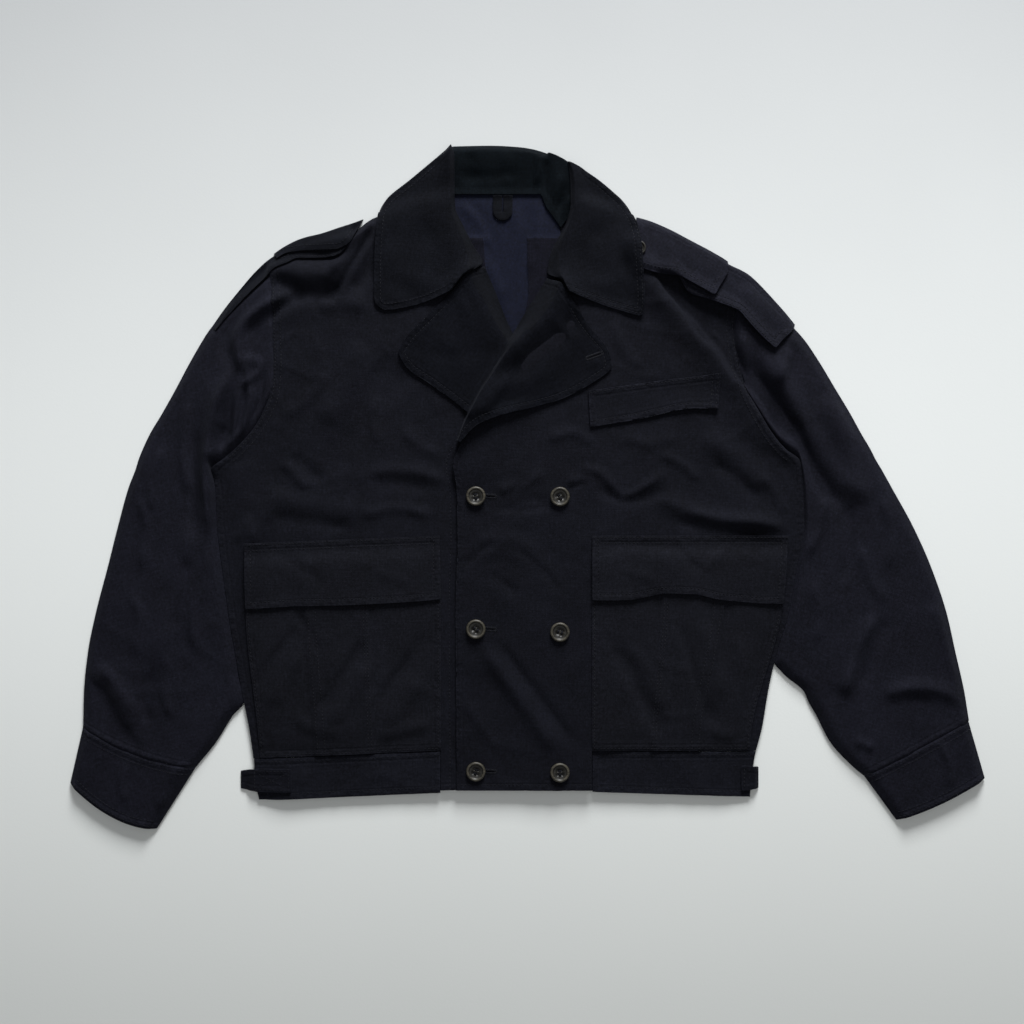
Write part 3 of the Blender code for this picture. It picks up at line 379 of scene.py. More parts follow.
def soften(field, reach):
    out = field
    for axis in (0, 1):
        edge = [(0, 0), (0, 0)]
        edge[axis] = (reach + 1, reach)
        total = np.cumsum(np.pad(out, edge, mode="edge"), axis=axis)
        if axis == 0:
            out = (total[2 * reach + 1:] - total[:-2 * reach - 1]) / (2 * reach + 1)
        else:
            out = (total[:, 2 * reach + 1:] - total[:, :-2 * reach - 1]) / (2 * reach + 1)
    return out


def restOn(reach):  # surface that a further layer of cloth would lie on
    out = widen(pile, reach)
    return soften(soften(out, reach), max(1, reach - 1))


def refine(grid, times):
    n, m = grid.shape
    down = np.linspace(0, n - 1, (n - 1) * times + 1)
    over = np.linspace(0, m - 1, (m - 1) * times + 1)
    i = np.minimum(down.astype(int), n - 2)
    j = np.minimum(over.astype(int), m - 2)
    s, t = (down - i)[:, None], (over - j)[None, :]
    return mix(mix(grid[i][:, j], grid[i + 1][:, j], s), mix(grid[i][:, j + 1], grid[i + 1][:, j + 1], s), t)


def addToPile(x, y, z, times=5):
    fineX, fineY, fineZ = refine(x, times), refine(y, times), refine(z, times)
    layer = np.zeros_like(pile)
    j = np.clip(np.rint(fineX - pileX).astype(int), 0, pile.shape[1] - 1)
    i = np.clip(np.rint(fineY - pileY).astype(int), 0, pile.shape[0] - 1)
    np.maximum.at(layer, (i.ravel(), j.ravel()), fineZ.ravel())
    np.maximum(pile, layer, out=pile)


# Mesh making

def link(mesh, name, group=None):
    thing = bpy.data.objects.new(name, mesh)
    (group or jacketGroup).objects.link(thing)
    return thing


def finishMesh(bm, name, group=None):
    mesh = bpy.data.meshes.new(name)
    bm.to_mesh(mesh)
    bm.free()
    return link(mesh, name, group)


def layWeave(bm, grain, smooth=True):  # directions of the weave, turned in plan by the grain
    uv = bm.loops.layers.uv.new("Weave")
    c, s = math.cos(grain), math.sin(grain)
    for face in bm.faces:
        face.smooth = smooth
        for loop in face.loops:
            px, py = loop.vert.co.x, loop.vert.co.y
            loop[uv].uv = (c * px + s * py, c * py - s * px)


def edgeDistance(x, y, sewn):  # millimetres to the nearest sewn edge of a grid of points
    away = np.full(x.shape, farFromSeam)
    n, m = x.shape
    borders = {"first": (x[0], y[0]), "last": (x[n - 1], y[n - 1]),
               "start": (x[:, 0], y[:, 0]), "end": (x[:, m - 1], y[:, m - 1])}
    for side in sewn:
        bx, by = borders[side]
        step = max(1, len(bx) // 60)
        keep = np.unique(np.append(np.arange(0, len(bx), step), len(bx) - 1))
        away = np.minimum(away, fromPath(pairs(bx[keep], by[keep]), x, y)[0])
    return away


def clothMesh(name, x, y, top, thick, grain=0.0, sewn=(), keep=None, bevel=0.55):
    # shell of cloth from the places of its upper side
    n, m = x.shape
    bm = bmesh.new()
    bmesh.ops.create_grid(bm, x_segments=m - 1, y_segments=n - 1, size=1)
    bm.verts.ensure_lookup_table()
    seamLayer = bm.verts.layers.float.new("seam")
    away = edgeDistance(x, y, sewn).ravel()
    flat = np.stack([x.ravel(), y.ravel(), top.ravel()], axis=1) * mm
    for k, vert in enumerate(bm.verts):
        vert.co = flat[k]
        vert[seamLayer] = away[k]
    if keep is not None:
        bm.faces.ensure_lookup_table()
        cut = [face for face, kept in zip(bm.faces[:], keep.ravel()) if not kept]
        bmesh.ops.delete(bm, geom=cut, context="FACES")
    made = bmesh.ops.extrude_face_region(bm, geom=bm.faces[:], use_keep_orig=True)
    lower = [item for item in made["geom"] if isinstance(item, bmesh.types.BMVert)]
    drop = thick * mm
    for vert in lower:
        vert.co.z = max(0.0, vert.co.z - drop)
    if bevel:
        lowSet = set(lower)
        rim = [edge for edge in bm.edges if len(edge.link_faces) == 2 and edge.calc_face_angle(0) > .9
               and (edge.verts[0] in lowSet) == (edge.verts[1] in lowSet)]
        bmesh.ops.bevel(bm, geom=rim, offset=bevel * mm, segments=2, profile=0.5, affect="EDGES", material=-1)
    bmesh.ops.recalc_face_normals(bm, faces=bm.faces[:])
    layWeave(bm, grain)
    return finishMesh(bm, name)


def wear(thing, node):
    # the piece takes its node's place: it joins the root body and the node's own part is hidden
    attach(thing, "root")
    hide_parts(node)


def insetPath(path, inset):  # path moved to its left by the inset
    path = np.array(path, float)
    step = np.diff(path, axis=0)
    step = step[np.hypot(*step.T) > 1e-6]
    path = np.concatenate([path[:1], path[0] + np.cumsum(step, axis=0)])
    unit = step / np.hypot(*step.T)[:, None]
    normal = pairs(-unit[:, 1], unit[:, 0])
    before = np.concatenate([normal[:1], normal])
    after = np.concatenate([normal, normal[-1:]])
    middle = before + after
    middle /= np.maximum(np.hypot(*middle.T), .2)[:, None]
    reach = 1 / np.maximum((middle * after).sum(axis=1), .6)         # corners are cut off a little
    moved = path + middle * (inset * reach)[:, None]
    away = fromPath(path, moved[:, 0], moved[:, 1])[0]
    return moved[away > abs(inset) * .93]


def spacedAlong(path):  # middle, start and end of each stitch
    pitch = stitching["length"] + stitching["gap"]
    lengths = np.concatenate([[0], np.cumsum(np.hypot(*np.diff(path, axis=0).T))])
    count = max(2, int(lengths[-1] / pitch))
    at = np.linspace(0, lengths[-1], count + 1)
    at = (at[1:] + at[:-1]) / 2
    half = stitching["length"] / 2

    def place(s):
        return pairs(np.interp(s, lengths, path[:, 0]), np.interp(s, lengths, path[:, 1]))

    return place(at), place(at - half), place(at + half)


sewing = {}     # stitches gathered for each piece: middles and directions


def sew(owner, path, inset=0.0):
    # a row of stitches on the piece just laid, along a path or beside it
    path = np.array(path, float)
    if inset:
        path = insetPath(path, inset)
    if len(path) < 2:
        return
    middle, start, end = spacedAlong(path)
    z = sample(pile, middle[:, 0], middle[:, 1])
    slope = sample(pile, end[:, 0], end[:, 1]) - sample(pile, start[:, 0], start[:, 1])
    direction = np.concatenate([end - start, np.clip(slope, -1.2, 1.2)[:, None]], axis=1)
    sewing.setdefault(owner, []).append((np.concatenate([middle, z[:, None]], axis=1), direction))


def stitchMesh(name, rows, seed):  # joined mesh of short rounded threads
    middle = np.concatenate([row[0] for row in rows])
    along = np.concatenate([row[1] for row in rows])
    long = np.linalg.norm(along, axis=1)
    good = long > .4
    middle, along, long = middle[good], along[good], long[good]
    along = along / long[:, None]
    side = np.stack([-along[:, 1], along[:, 0], np.zeros(len(along))], axis=1)
    side /= np.linalg.norm(side, axis=1)[:, None]
    up = np.cross(along, side)
    random = np.random.default_rng(seed)
    rings = [(-.5, .35, -.55), (-.34, .9, .12), (0, 1.0, .28), (.34, .9, .12), (.5, .35, -.55)]
    turns = 6
    points = []
    stretch = stitching["length"] * random.uniform(.92, 1.06, len(middle))
    swing = random.uniform(-.05, .05, len(middle))
    for place, wide, high in rings:
        for k in range(turns):
            a = 2 * math.pi * k / turns
            points.append(middle + along * (place * stretch)[:, None]
                          + side * (wide * stitching["width"] / 2 * math.cos(a) + swing * place * 4)[:, None]
                          + up * (high * .5 + wide * stitching["height"] / 2 * math.sin(a)))
    shape = np.stack(points, axis=1)
    count = len(rings) * turns
    faces = []
    for r in range(len(rings) - 1):
        for k in range(turns):
            faces.append([r * turns + k, r * turns + (k + 1) % turns, (r + 1) * turns + (k + 1) % turns,
                          (r + 1) * turns + k])
    faces = np.array(faces)
    joined = (faces[None] + (np.arange(len(middle)) * count)[:, None, None]).reshape(-1, 4)
    mesh = bpy.data.meshes.new(name)
    mesh.from_pydata((shape.reshape(-1, 3) * mm).tolist(), [], joined.tolist())
    mesh.polygons.foreach_set("use_smooth", [True] * len(mesh.polygons))
    mesh.update()
    bm = bmesh.new()
    bm.from_mesh(mesh)
    bmesh.ops.holes_fill(bm, edges=[edge for edge in bm.edges if edge.is_boundary], sides=turns)
    bmesh.ops.recalc_face_normals(bm, faces=bm.faces[:])
    bm.to_mesh(mesh)
    bm.free()
    return link(mesh, name, sewingGroup)


# Materials

def nodeGroup(name, inputs, outputs):
    tree = bpy.data.node_groups.new(name, "ShaderNodeTree")
    for label, kind, value in inputs:
        socket = tree.interface.new_socket(name=label, in_out="INPUT", socket_type=kind)
        if value is not None:
            socket.default_value = value
    for label, kind in outputs:
        tree.interface.new_socket(name=label, in_out="OUTPUT", socket_type=kind)
    start = tree.nodes.new("NodeGroupInput")
    start.location = (-1200, 0)
    end = tree.nodes.new("NodeGroupOutput")
    end.location = (900, 0)
    return tree, start, end


def node(tree, kind, place, **values):
    item = tree.nodes.new(kind)
    item.location = place
    for key, value in values.items():
        if hasattr(item, key):
            setattr(item, key, value)
        else:
            item.inputs[key].default_value = value
    return item


def maths(tree, operation, place, a, b=None, c=None):
    item = tree.nodes.new("ShaderNodeMath")
    item.operation = operation
    item.location = place
    for k, value in enumerate((a, b, c)):
        if value is None:
            continue
        if isinstance(value, (int, float)):
            item.inputs[k].default_value = value
        else:
            tree.links.new(value, item.inputs[k])
    return item.outputs[0]


def mapRange(tree, place, value, low, high, smooth=True):  # 0 at the low value, 1 at the high one
    item = node(tree, "ShaderNodeMapRange", place, **{"From Min": low, "From Max": high})
    item.interpolation_type = "SMOOTHSTEP" if smooth else "LINEAR"
    tree.links.new(value, item.inputs["Value"])
    return item.outputs[0]


def colourRamp(tree, place, value, stops, blend="LINEAR"):  # a stop is a place from 0 to 1 and a colour
    item = node(tree, "ShaderNodeValToRGB", place)
    item.color_ramp.interpolation = blend
    elements = item.color_ramp.elements
    for end, (at, colour) in zip(elements, (stops[0], stops[-1])):
        end.position = at
        end.color = (*colour, 1)
    for at, colour in stops[1:-1]:
        elements.new(at).color = (*colour, 1)
    tree.links.new(value, item.inputs["Fac"])
    return item.outputs["Color"]


def newMaterial(name, settings):
    material = bpy.data.materials.new(name)
    material.use_nodes = True
    tree = material.node_tree
    shader = tree.nodes["Principled BSDF"]
    for label, value in settings.items():
        shader.inputs[label].default_value = value
    return material, tree, shader


def makeWovenGroup():  # plain weave with slub, seam pucker, wear and mottled dye
    tree, start, end = nodeGroup(
        "Woven cotton",
        [("Colour", "NodeSocketColor", (.01, .01, .014, 1)),
         ("Worn colour", "NodeSocketColor", (.02, .02, .026, 1)),
         ("Thread", "NodeSocketFloat", 0.62), ("Slub", "NodeSocketFloat", 0.5),
         ("Mottle", "NodeSocketFloat", 0.5), ("Wear", "NodeSocketFloat", 0.5),
         ("Groove at", "NodeSocketFloat", 6.5), ("Relief", "NodeSocketFloat", 1.0)],
        [("Colour", "NodeSocketColor"), ("Roughness", "NodeSocketFloat"), ("Normal", "NodeSocketVector")])
    link = tree.links.new
    uv = node(tree, "ShaderNodeUVMap", (-1200, 420), uv_map="Weave")
    place = node(tree, "ShaderNodeTexCoord", (-1200, 660))
    seam = node(tree, "ShaderNodeAttribute", (-1200, -420), attribute_name="seam")
    split = node(tree, "ShaderNodeSeparateXYZ", (-1000, 420))
    link(uv.outputs[0], split.inputs[0])
    pitch = maths(tree, "MULTIPLY", (-1000, 250), start.outputs["Thread"], .001)
    threads = []
    for k in (0, 1):
        turn = maths(tree, "DIVIDE", (-820, 420 - 160 * k), split.outputs[k], pitch)
        angle = maths(tree, "MULTIPLY", (-740, 420 - 160 * k), turn, math.pi)
        threads.append(maths(tree, "SINE", (-660, 420 - 160 * k), angle))
    over = maths(tree, "MULTIPLY", (-480, 380), threads[0], threads[1])
    weave = maths(tree, "ABSOLUTE", (-320, 380), over)
    slubWarp = node(tree, "ShaderNodeMapping", (-820, 0), vector_type="POINT", Scale=(900, 60, 1))
    slubWeft = node(tree, "ShaderNodeMapping", (-820, -180), vector_type="POINT", Scale=(55, 820, 1))
    slubs = []
    for k, mapping in enumerate((slubWarp, slubWeft)):
        link(uv.outputs[0], mapping.inputs[0])
        grain = node(tree, "ShaderNodeTexNoise", (-620, -180 * k), Scale=1.0, Detail=3.0, Roughness=.6)
        link(mapping.outputs[0], grain.inputs["Vector"])
        slubs.append(grain.outputs["Fac"])
    slub = maths(tree, "MULTIPLY", (-420, -60), maths(tree, "ADD", (-500, -60), slubs[0], slubs[1]), .5)
    fine = node(tree, "ShaderNodeTexNoise", (-820, 760), Scale=420.0, Detail=4.0, Roughness=.7)
    broad = node(tree, "ShaderNodeTexNoise", (-820, 620), Scale=16.0, Detail=5.0, Roughness=.62)
    link(place.outputs["Object"], fine.inputs["Vector"])
    link(place.outputs["Object"], broad.inputs["Vector"])
    # seam pucker: short ripples that die away from the sewn edge
    ripple = node(tree, "ShaderNodeTexNoise", (-820, -600), Scale=175.0, Detail=1.0)
    link(place.outputs["Object"], ripple.inputs["Vector"])
    fromEdge = seam.outputs["Fac"]
    near = mapRange(tree, (-820, -780), fromEdge, 12, 2)
    off = maths(tree, "SUBTRACT", (-720, -420), fromEdge, start.outputs["Groove at"])
    off = maths(tree, "ABSOLUTE", (-640, -420), off)
    groove = mapRange(tree, (-480, -420), off, 0, 2.2)
    edge = mapRange(tree, (-480, -620), fromEdge, 2.4, 0)
    pucker = maths(tree, "MULTIPLY", (-480, -780), ripple.outputs["Fac"], near)
    # heights in metres
    height = maths(tree, "MULTIPLY", (-200, 300), weave, .00007)
    height = maths(tree, "MULTIPLY_ADD", (-80, 220), slub, .00014, height)
    height = maths(tree, "MULTIPLY_ADD", (0, 120), groove, .00016, height)
    height = maths(tree, "MULTIPLY_ADD", (80, 20), pucker, .0008, height)
    height = maths(tree, "MULTIPLY", (160, -60), height, start.outputs["Relief"])
    bump = node(tree, "ShaderNodeBump", (320, -60), Strength=1.0, Distance=1.0)
    link(height, bump.inputs["Height"])
    # colour: dark mottled dye, paler slubs and rubbed edges
    rubbed = maths(tree, "MULTIPLY", (-280, -260), edge, start.outputs["Wear"])
    patchy = maths(tree, "MULTIPLY_ADD", (-280, -340), ripple.outputs["Fac"], 1.2, .1)
    worn = maths(tree, "MULTIPLY", (-200, -260), rubbed, patchy)
    lightSlub = mapRange(tree, (-200, -120), slub, .5, .72, smooth=False)
    lightSlub = maths(tree, "MULTIPLY", (-100, -120), lightSlub, start.outputs["Slub"])
    worn = maths(tree, "MULTIPLY_ADD", (-60, -200), lightSlub, .6, worn)
    blend = node(tree, "ShaderNodeMix", (120, 420), data_type="RGBA", clamp_factor=True)
    link(worn, blend.inputs["Factor"])
    link(start.outputs["Colour"], blend.inputs["A"])
    link(start.outputs["Worn colour"], blend.inputs["B"])
    cloudy = maths(tree, "SUBTRACT", (40, 600), broad.outputs["Fac"], .5)
    shade = maths(tree, "MULTIPLY", (120, 600), cloudy, start.outputs["Mottle"])
    grainy = maths(tree, "MULTIPLY_ADD", (120, 700), fine.outputs["Fac"], 2.4, -.2)
    shade = maths(tree, "ADD", (200, 600), shade, grainy)
    crossing = maths(tree, "MULTIPLY_ADD", (200, 760), weave, .35, .84)
    shade = maths(tree, "MULTIPLY", (280, 600), shade, crossing)
    tint = node(tree, "ShaderNodeVectorMath", (420, 480), operation="SCALE")
    link(blend.outputs["Result"], tint.inputs[0])
    link(shade, tint.inputs["Scale"])
    link(tint.outputs["Vector"], end.inputs["Colour"])
    link(maths(tree, "MULTIPLY_ADD", (420, 200), slub, -.16, .92), end.inputs["Roughness"])
    link(bump.outputs[0], end.inputs["Normal"])
    return tree


wovenGroup = makeWovenGroup()


def clothLook(name, look):
    material, tree, shader = newMaterial(name, {
        "Specular IOR Level": look["specular"], "Sheen Weight": look["sheen"], "Sheen Roughness": .45,
        "Sheen Tint": (.75, .8, 1, 1)})
    shader.location = (300, 0)
    group = tree.nodes.new("ShaderNodeGroup")
    group.node_tree = wovenGroup
    group.location = (0, 0)
    for label in ("Thread", "Slub", "Mottle", "Wear", "Relief"):
        group.inputs[label].default_value = look[label.lower()]
    group.inputs["Groove at"].default_value = 6.5
    group.inputs["Colour"].default_value = (*look["colour"], 1)
    group.inputs["Worn colour"].default_value = (*[c * look["paler"] for c in look["colour"]], 1)
    tree.links.new(group.outputs["Colour"], shader.inputs["Base Color"])
    tree.links.new(group.outputs["Roughness"], shader.inputs["Roughness"])
    tree.links.new(group.outputs["Normal"], shader.inputs["Normal"])
    return material


cottonLook = {"colour": (.0044, .0047, .0078), "paler": 2.4, "specular": .085, "sheen": .025, "thread": .8,
              "slub": .9, "mottle": 1.0, "wear": .22, "relief": 1.9}
looks = {
    "front": clothLook("Navy cotton", cottonLook),
    # lighter copy of the cotton: painted light on the sleeves, cuffs and the left saddle and epaulette
    "sleeve": clothLook("Navy cotton in painted light", {**cottonLook, "colour": (.0063, .0065, .011)}),
    "band": clothLook("Navy cotton hem band", {**cottonLook, "colour": (.0056, .006, .0096)}),
    # darker copy of the cotton; on the right saddle and epaulette it is painted shade
    "collar": clothLook("Navy cotton collar", {
        **cottonLook, "colour": (.0033, .0037, .0058), "specular": .06, "sheen": .018}),
    # darker copy of the cotton: painted shade where the collar wings shade the lapels
    "lapel": clothLook("Navy cotton lapel in painted shade", {
        **cottonLook, "colour": (.0032, .0036, .0057), "specular": .05, "sheen": .015}),
    "pocket": clothLook("Navy cotton pocket", {**cottonLook, "colour": (.0052, .0055, .0084)}),
    "stand": clothLook("Navy cotton stand", {
        **cottonLook, "colour": (.0019, .0032, .0046), "specular": .05, "sheen": .014, "wear": .2}),
    "lining": clothLook("Smooth navy lining", {
        "colour": (.0038, .005, .0138), "paler": 1.4, "specular": .13, "sheen": .02, "thread": .3, "slub": .25,
        "mottle": .25, "wear": .15, "relief": .35}),
    # darker copy of the cotton for the turned-in side past the lapel and collar rolls, and for the hanger loop:
    # painted shade
    "facing": clothLook("Navy cotton in painted shade", {**cottonLook, "colour": (.0026, .003, .0048), "wear": .2}),
    "facingStrip": clothLook("Navy facing strip", {**cottonLook, "colour": (.0038, .0038, .0078), "wear": .1}),
}


def threadLook():
    material, tree, shader = newMaterial("Navy sewing thread", {
        "Roughness": .55, "Specular IOR Level": .16, "Sheen Weight": .02})
    place = tree.nodes.new("ShaderNodeTexCoord")
    twist = node(tree, "ShaderNodeTexWave", (-400, -100), Scale=900.0, Distortion=2.0)
    spot = node(tree, "ShaderNodeTexNoise", (-400, 150), Scale=260.0)
    tree.links.new(place.outputs["Object"], twist.inputs["Vector"])
    tree.links.new(place.outputs["Object"], spot.inputs["Vector"])
    tone = colourRamp(tree, (-200, 150), spot.outputs["Fac"], [
        (0, (.0032, .0036, .006)), (1, (.0078, .0086, .0132))])
    tree.links.new(tone, shader.inputs["Base Color"])
    bump = node(tree, "ShaderNodeBump", (-150, -150), Strength=.5, Distance=.0002)
    tree.links.new(twist.outputs["Fac"], bump.inputs["Height"])
    tree.links.new(bump.outputs[0], shader.inputs["Normal"])
    return material


looks["thread"] = threadLook()
print("materials made")


# Body

def bodySide(side, y):
    return curve(outline["y"], outline["body" + side.capitalize()], y)


def shoulderY(side, x):
    return curve(shoulders[side]["x"], shoulders[side]["y"], x)


def frontPlan(side, rows, columns):
    # rows run from the hem to the shoulder; columns 0 to 1 side strip, 1 to 2 pocket, 2 to 3 centre
    table = fronts[side]
    row, column = np.meshgrid(rows, columns, indexing="ij")
    start = jacket["armStart"]
    upper = row > start
    w = np.where(upper, row - start, 0)
    ySide = np.where(upper, mix(start, armTip[side], w), row)
    yInner = np.where(upper, mix(start, neckTip[side], w), row)
    keys = np.stack([bodySide(side, ySide), curve(table["y"], table["pocketOuter"], ySide),
                     curve(table["y"], table["pocketInner"], yInner), curve(table["y"], table["edge"], yInner)])
    k = np.minimum(2, column.astype(int))
    i, j = np.indices(row.shape)
    x = mix(keys[k, i, j], keys[k + 1, i, j], column - k)
    slope = 0.0
    if side == "right":
        slope = -8 * np.clip((-90 - x) / 195, 0, 1) * ease((start - row) / 20)
    y = np.where(upper, mix(start, shoulderY(side, x), w), row + slope)
    return x, np.where(upper & (column == 0), ySide, y)


def bodyHeight(side, x, y):  # underside of the front, over the back
    fromSide = x - bodySide("right", y) if side == "right" else bodySide("left", y) - x
    rise = np.maximum(ease(fromSide / jacket["sideRoll"]), ease((y + 5) / 45))
    nearNeck = ease((x + 150) / 45) if side == "right" else ease((110 - x) / 40)
    top = np.maximum(nearNeck, ease((shoulderY(side, x) - y + 2) / (24 if side == "left" else 11)))
    floor = jacket["cloth"] + jacket["seam"]
    folded = foldLift(x, y, folds) + foldLift(x, y, shoulderFolds)
    folded = folded + 1.35 * foldLift(x, y, creases)
    folded = folded + wrinkle(x, y, 11 if side == "right" else 29, 1.8)
    folded = folded * ease(fromSide / 10 + ease(y / 30))
    if side == "right":
        folded = folded * ease((-52 - x) / 14)
    return np.maximum(floor, floor + rise * top * (jacket["loft"] + folded))


underRoll = ((20, 178), (-14, 145), (-57, 73), (-70, 45))


def underlap(side, x, y):  # the left front rides up over the right front and its lapel
    if side == "right":
        return 0.0
    lift = (jacket["cloth"] + jacket["seam"]) * ease((112 - x) / 42)
    away, _ = fromPath(underRoll, x, y)
    return lift + 5.0 * ease((62 - away) / 40)


def spread(*parts):  # joined list of evenly spaced values: start, end, count
    return np.unique(np.round(np.concatenate([np.linspace(*part) for part in parts]), 6))


start = jacket["armStart"]
frontRows = spread((-311, -271, 14), (-271, start, 84), (start, start + 1, 100))
nearEdge = 3 - np.array([9.2, 8, 7.2, 6.5, 5.8, 4.5, 2.6, 1.2, .4, 0]) / 137
frontColumns = np.concatenate([np.linspace(0, 1, 10), np.linspace(1, 2, 64)[1:],
                               np.linspace(2, nearEdge[0], 44)[1:], nearEdge[1:]])
hemRow = int(np.argmin(np.abs(frontRows - jacket["hem"])))
centreColumn = int(np.argmin(np.abs(frontColumns - 2)))


def slab(name, points, bottom, thick):  # flat piece cut to an outline
    ring = np.array(points, float)
    lengths = np.concatenate([[0], np.cumsum(np.hypot(*np.diff(np.vstack([ring, ring[:1]]), axis=0).T))])
    at = np.unique(np.concatenate([np.arange(0, lengths[-1], 8), lengths[:-1]]))
    closed = np.vstack([ring, ring[:1]])
    edge = pairs(np.interp(at, lengths, closed[:, 0]), np.interp(at, lengths, closed[:, 1]))
    bm = bmesh.new()
    face = bm.faces.new([bm.verts.new((x * mm, y * mm, bottom * mm)) for x, y in edge])
    made = bmesh.ops.extrude_face_region(bm, geom=[face], use_keep_orig=True)
    moved = [item for item in made["geom"] if isinstance(item, bmesh.types.BMVert)]
    bmesh.ops.translate(bm, vec=(0, 0, thick * mm), verts=moved)
    bmesh.ops.recalc_face_normals(bm, faces=bm.faces[:])
    rim = [item for item in bm.edges if item.calc_face_angle(0) > .9
           and abs(item.verts[0].co.z - item.verts[1].co.z) < 1e-6]
    bmesh.ops.bevel(bm, geom=rim, offset=.4 * mm, segments=2, profile=0.5, affect="EDGES", material=-1)
    bmesh.ops.triangulate(bm, faces=bm.faces[:])
    seamLayer = bm.verts.layers.float.new("seam")
    for vert in bm.verts:
        vert[seamLayer] = farFromSeam
    layWeave(bm, 0.0, smooth=False)
    size = (np.ptp(ring[:, 0]) * mm, np.ptp(ring[:, 1]) * mm)
    return finishMesh(bm, name), size


def inOrder(side, *grids):  # columns from left to right of the photo on either side
    return grids if side == "right" else [grid[:, ::-1] for grid in grids]


def aroundEdges(x, y):  # down the first column, along the first row and up the last column
    down = pairs(x[::-1, 0], y[::-1, 0])
    return np.concatenate([down, pairs(x[0, 1:], y[0, 1:]), pairs(x[1:, -1], y[1:, -1])])


def bodyEdge(side):  # from the hem up the side seam and the armhole to the shoulder tip
    x, y = frontPlan(side, frontRows[hemRow:], np.array([0.0]))
    return pairs(x[:, 0], y[:, 0])


backPoints = [bodyEdge("right")]
backPoints.append(np.array(list(zip(shoulders["right"]["x"], shoulders["right"]["y"]))[1:], float))
backPoints.append(np.array([(-80, 301), (46, 301)]))
backPoints.append(np.array(list(zip(shoulders["left"]["x"], shoulders["left"]["y"]))[:-1], float))
backPoints.append(bodyEdge("left")[::-1])
backPiece, backSize = slab("back_cloth", np.concatenate(backPoints), 0, jacket["cloth"])
backPiece.data.materials.append(looks["front"])
wear(backPiece, "back")
bandLow = [(-276, -320.5), (-180, -316.5), (-80, -312), (60, -312), (160, -315.5), (228, -318.5)]
bandLow += [(float(bodySide("left", -300)), -300), (float(bodySide("left", -273)), -272.6)]
bandLow += [(float(bodySide("right", -279)), -279.1), (float(bodySide("right", -300)), -300)]
bandPiece, bandSize = slab("back_band_cloth", bandLow, 0, jacket["cloth"])
bandPiece.data.materials.append(looks["front"])
wear(bandPiece, "back_band")
pile[int(-320 - pileY):int(290 - pileY), int(-270 - pileX):int(230 - pileX)] = jacket["cloth"]
pile[int(240 - pileY):int(342 - pileY), int(-140 - pileX):int(100 - pileX)] = jacket["cloth"]

# Lining inside the neck
liningLeft = {"y": [129, 178, 212, 246, 268, 302], "x": [-17, -44, -58, -76, -84, -84]}
liningRight = {"y": [129, 146, 176, 212, 258, 270, 286, 302], "x": [-3, 10, 20, 28, 34, 32, 26, 16]}
liningFolds = [
    (1.3, 5, ((-70, 292), (-48, 270), (-36, 244))), (-1.1, 5, ((-60, 296), (-40, 262), (-30, 226))),
    (1.2, 6, ((-14, 290), (-10, 262), (-18, 228), (-24, 190))),
    (-1.0, 5, ((2, 288), (2, 256), (-8, 214), (-14, 178))),
    (1.2, 5, ((14, 280), (10, 250), (2, 220))), (.9, 5, ((-46, 236), (-30, 206), (-18, 168))),
    (.9, 4, ((-66, 258), (-50, 252), (-36, 256))), (-.8, 4, ((-4, 168), (-12, 150), (-16, 138))),
]
# facing strips end where the smooth lining starts; two columns of the grid follow their edges
facingTop = 256
facingLeft = {"y": [129, 151, 175, 199, 223, 254, 302], "t": [.21, .21, .195, .196, .227, .3, .32]}
facingRight = {"y": [129, 151, 163, 175, 199, 223, 254, 302], "t": [.4, .42, .545, .628, .683, .681, .696, .7]}
liningColumns = np.concatenate([np.linspace(0, .245, 13), [.25, .255], np.linspace(.27, .63, 19),
                                [.645, .65], np.linspace(.67, 1, 16)])
yLine, uLine = np.meshgrid(np.linspace(302, 129, 68), liningColumns, indexing="ij")
leftT = curve(facingLeft["y"], facingLeft["t"], yLine)
rightT = curve(facingRight["y"], facingRight["t"], yLine)
tLine = np.where(uLine < .65, mix(leftT, rightT, (uLine - .25) / .4), mix(rightT, 1, (uLine - .65) / .35))
tLine = np.where(uLine < .25, leftT * uLine / .25, tLine)
onFacing = ((uLine < .2501) | (uLine > .6499)) & (yLine < facingTop)
xLeft = curve(liningLeft["y"], liningLeft["x"], yLine)
xLine = mix(xLeft, curve(liningRight["y"], liningRight["x"], yLine), tLine)
liningLow = jacket["cloth"] + jacket["seam"]
middle = ease(np.minimum(tLine, 1 - tLine) * 5) * ease((299 - yLine) / 14)
liningFolded = np.maximum(0, .5 + foldLift(xLine, yLine, liningFolds) + wrinkle(xLine, yLine, 5, .9))
liningTop = liningLow + 1.2 + liningFolded * middle
liningTop = liningTop + .7 * onFacing                                 # the strips lie on the lining
lining = clothMesh("back_lining_cloth", xLine[::-1], yLine[::-1], liningTop[::-1], 1.0, bevel=.3)
lining.data.materials.append(looks["lining"])
wear(lining, "back_lining")
addToPile(xLine, yLine, liningTop)
lining.data.materials.append(looks["facingStrip"])
for face in lining.data.polygons:
    y = face.center.y / mm
    left = curve(liningLeft["y"], liningLeft["x"], y)
    t = (face.center.x / mm - left) / (curve(liningRight["y"], liningRight["x"], y) - left)
    beside = t < curve(facingLeft["y"], facingLeft["t"], y) or t > curve(facingRight["y"], facingRight["t"], y)
    face.material_index = int(beside and y < facingTop)

collarBackEdge = [
    (47.5, 300.3), (49.5, 295), (80, 285), (102, 277.5), (100, 284), (85, 299), (58, 320), (44, 328.5),
    (20, 339), (-5, 343), (-40, 345.5), (-77, 345), (-96, 330), (-121, 309), (-141, 292), (-138, 286.5),
    (-120, 290.5), (-83.5, 296.5), (-82, 300.3),
]
collarBack, collarBackSize = slab("collar_back_cloth", collarBackEdge, 0, jacket["cloth"])
collarBack.data.materials.append(looks["collar"])
wear(collarBack, "collar_back")
print("back and lining made")

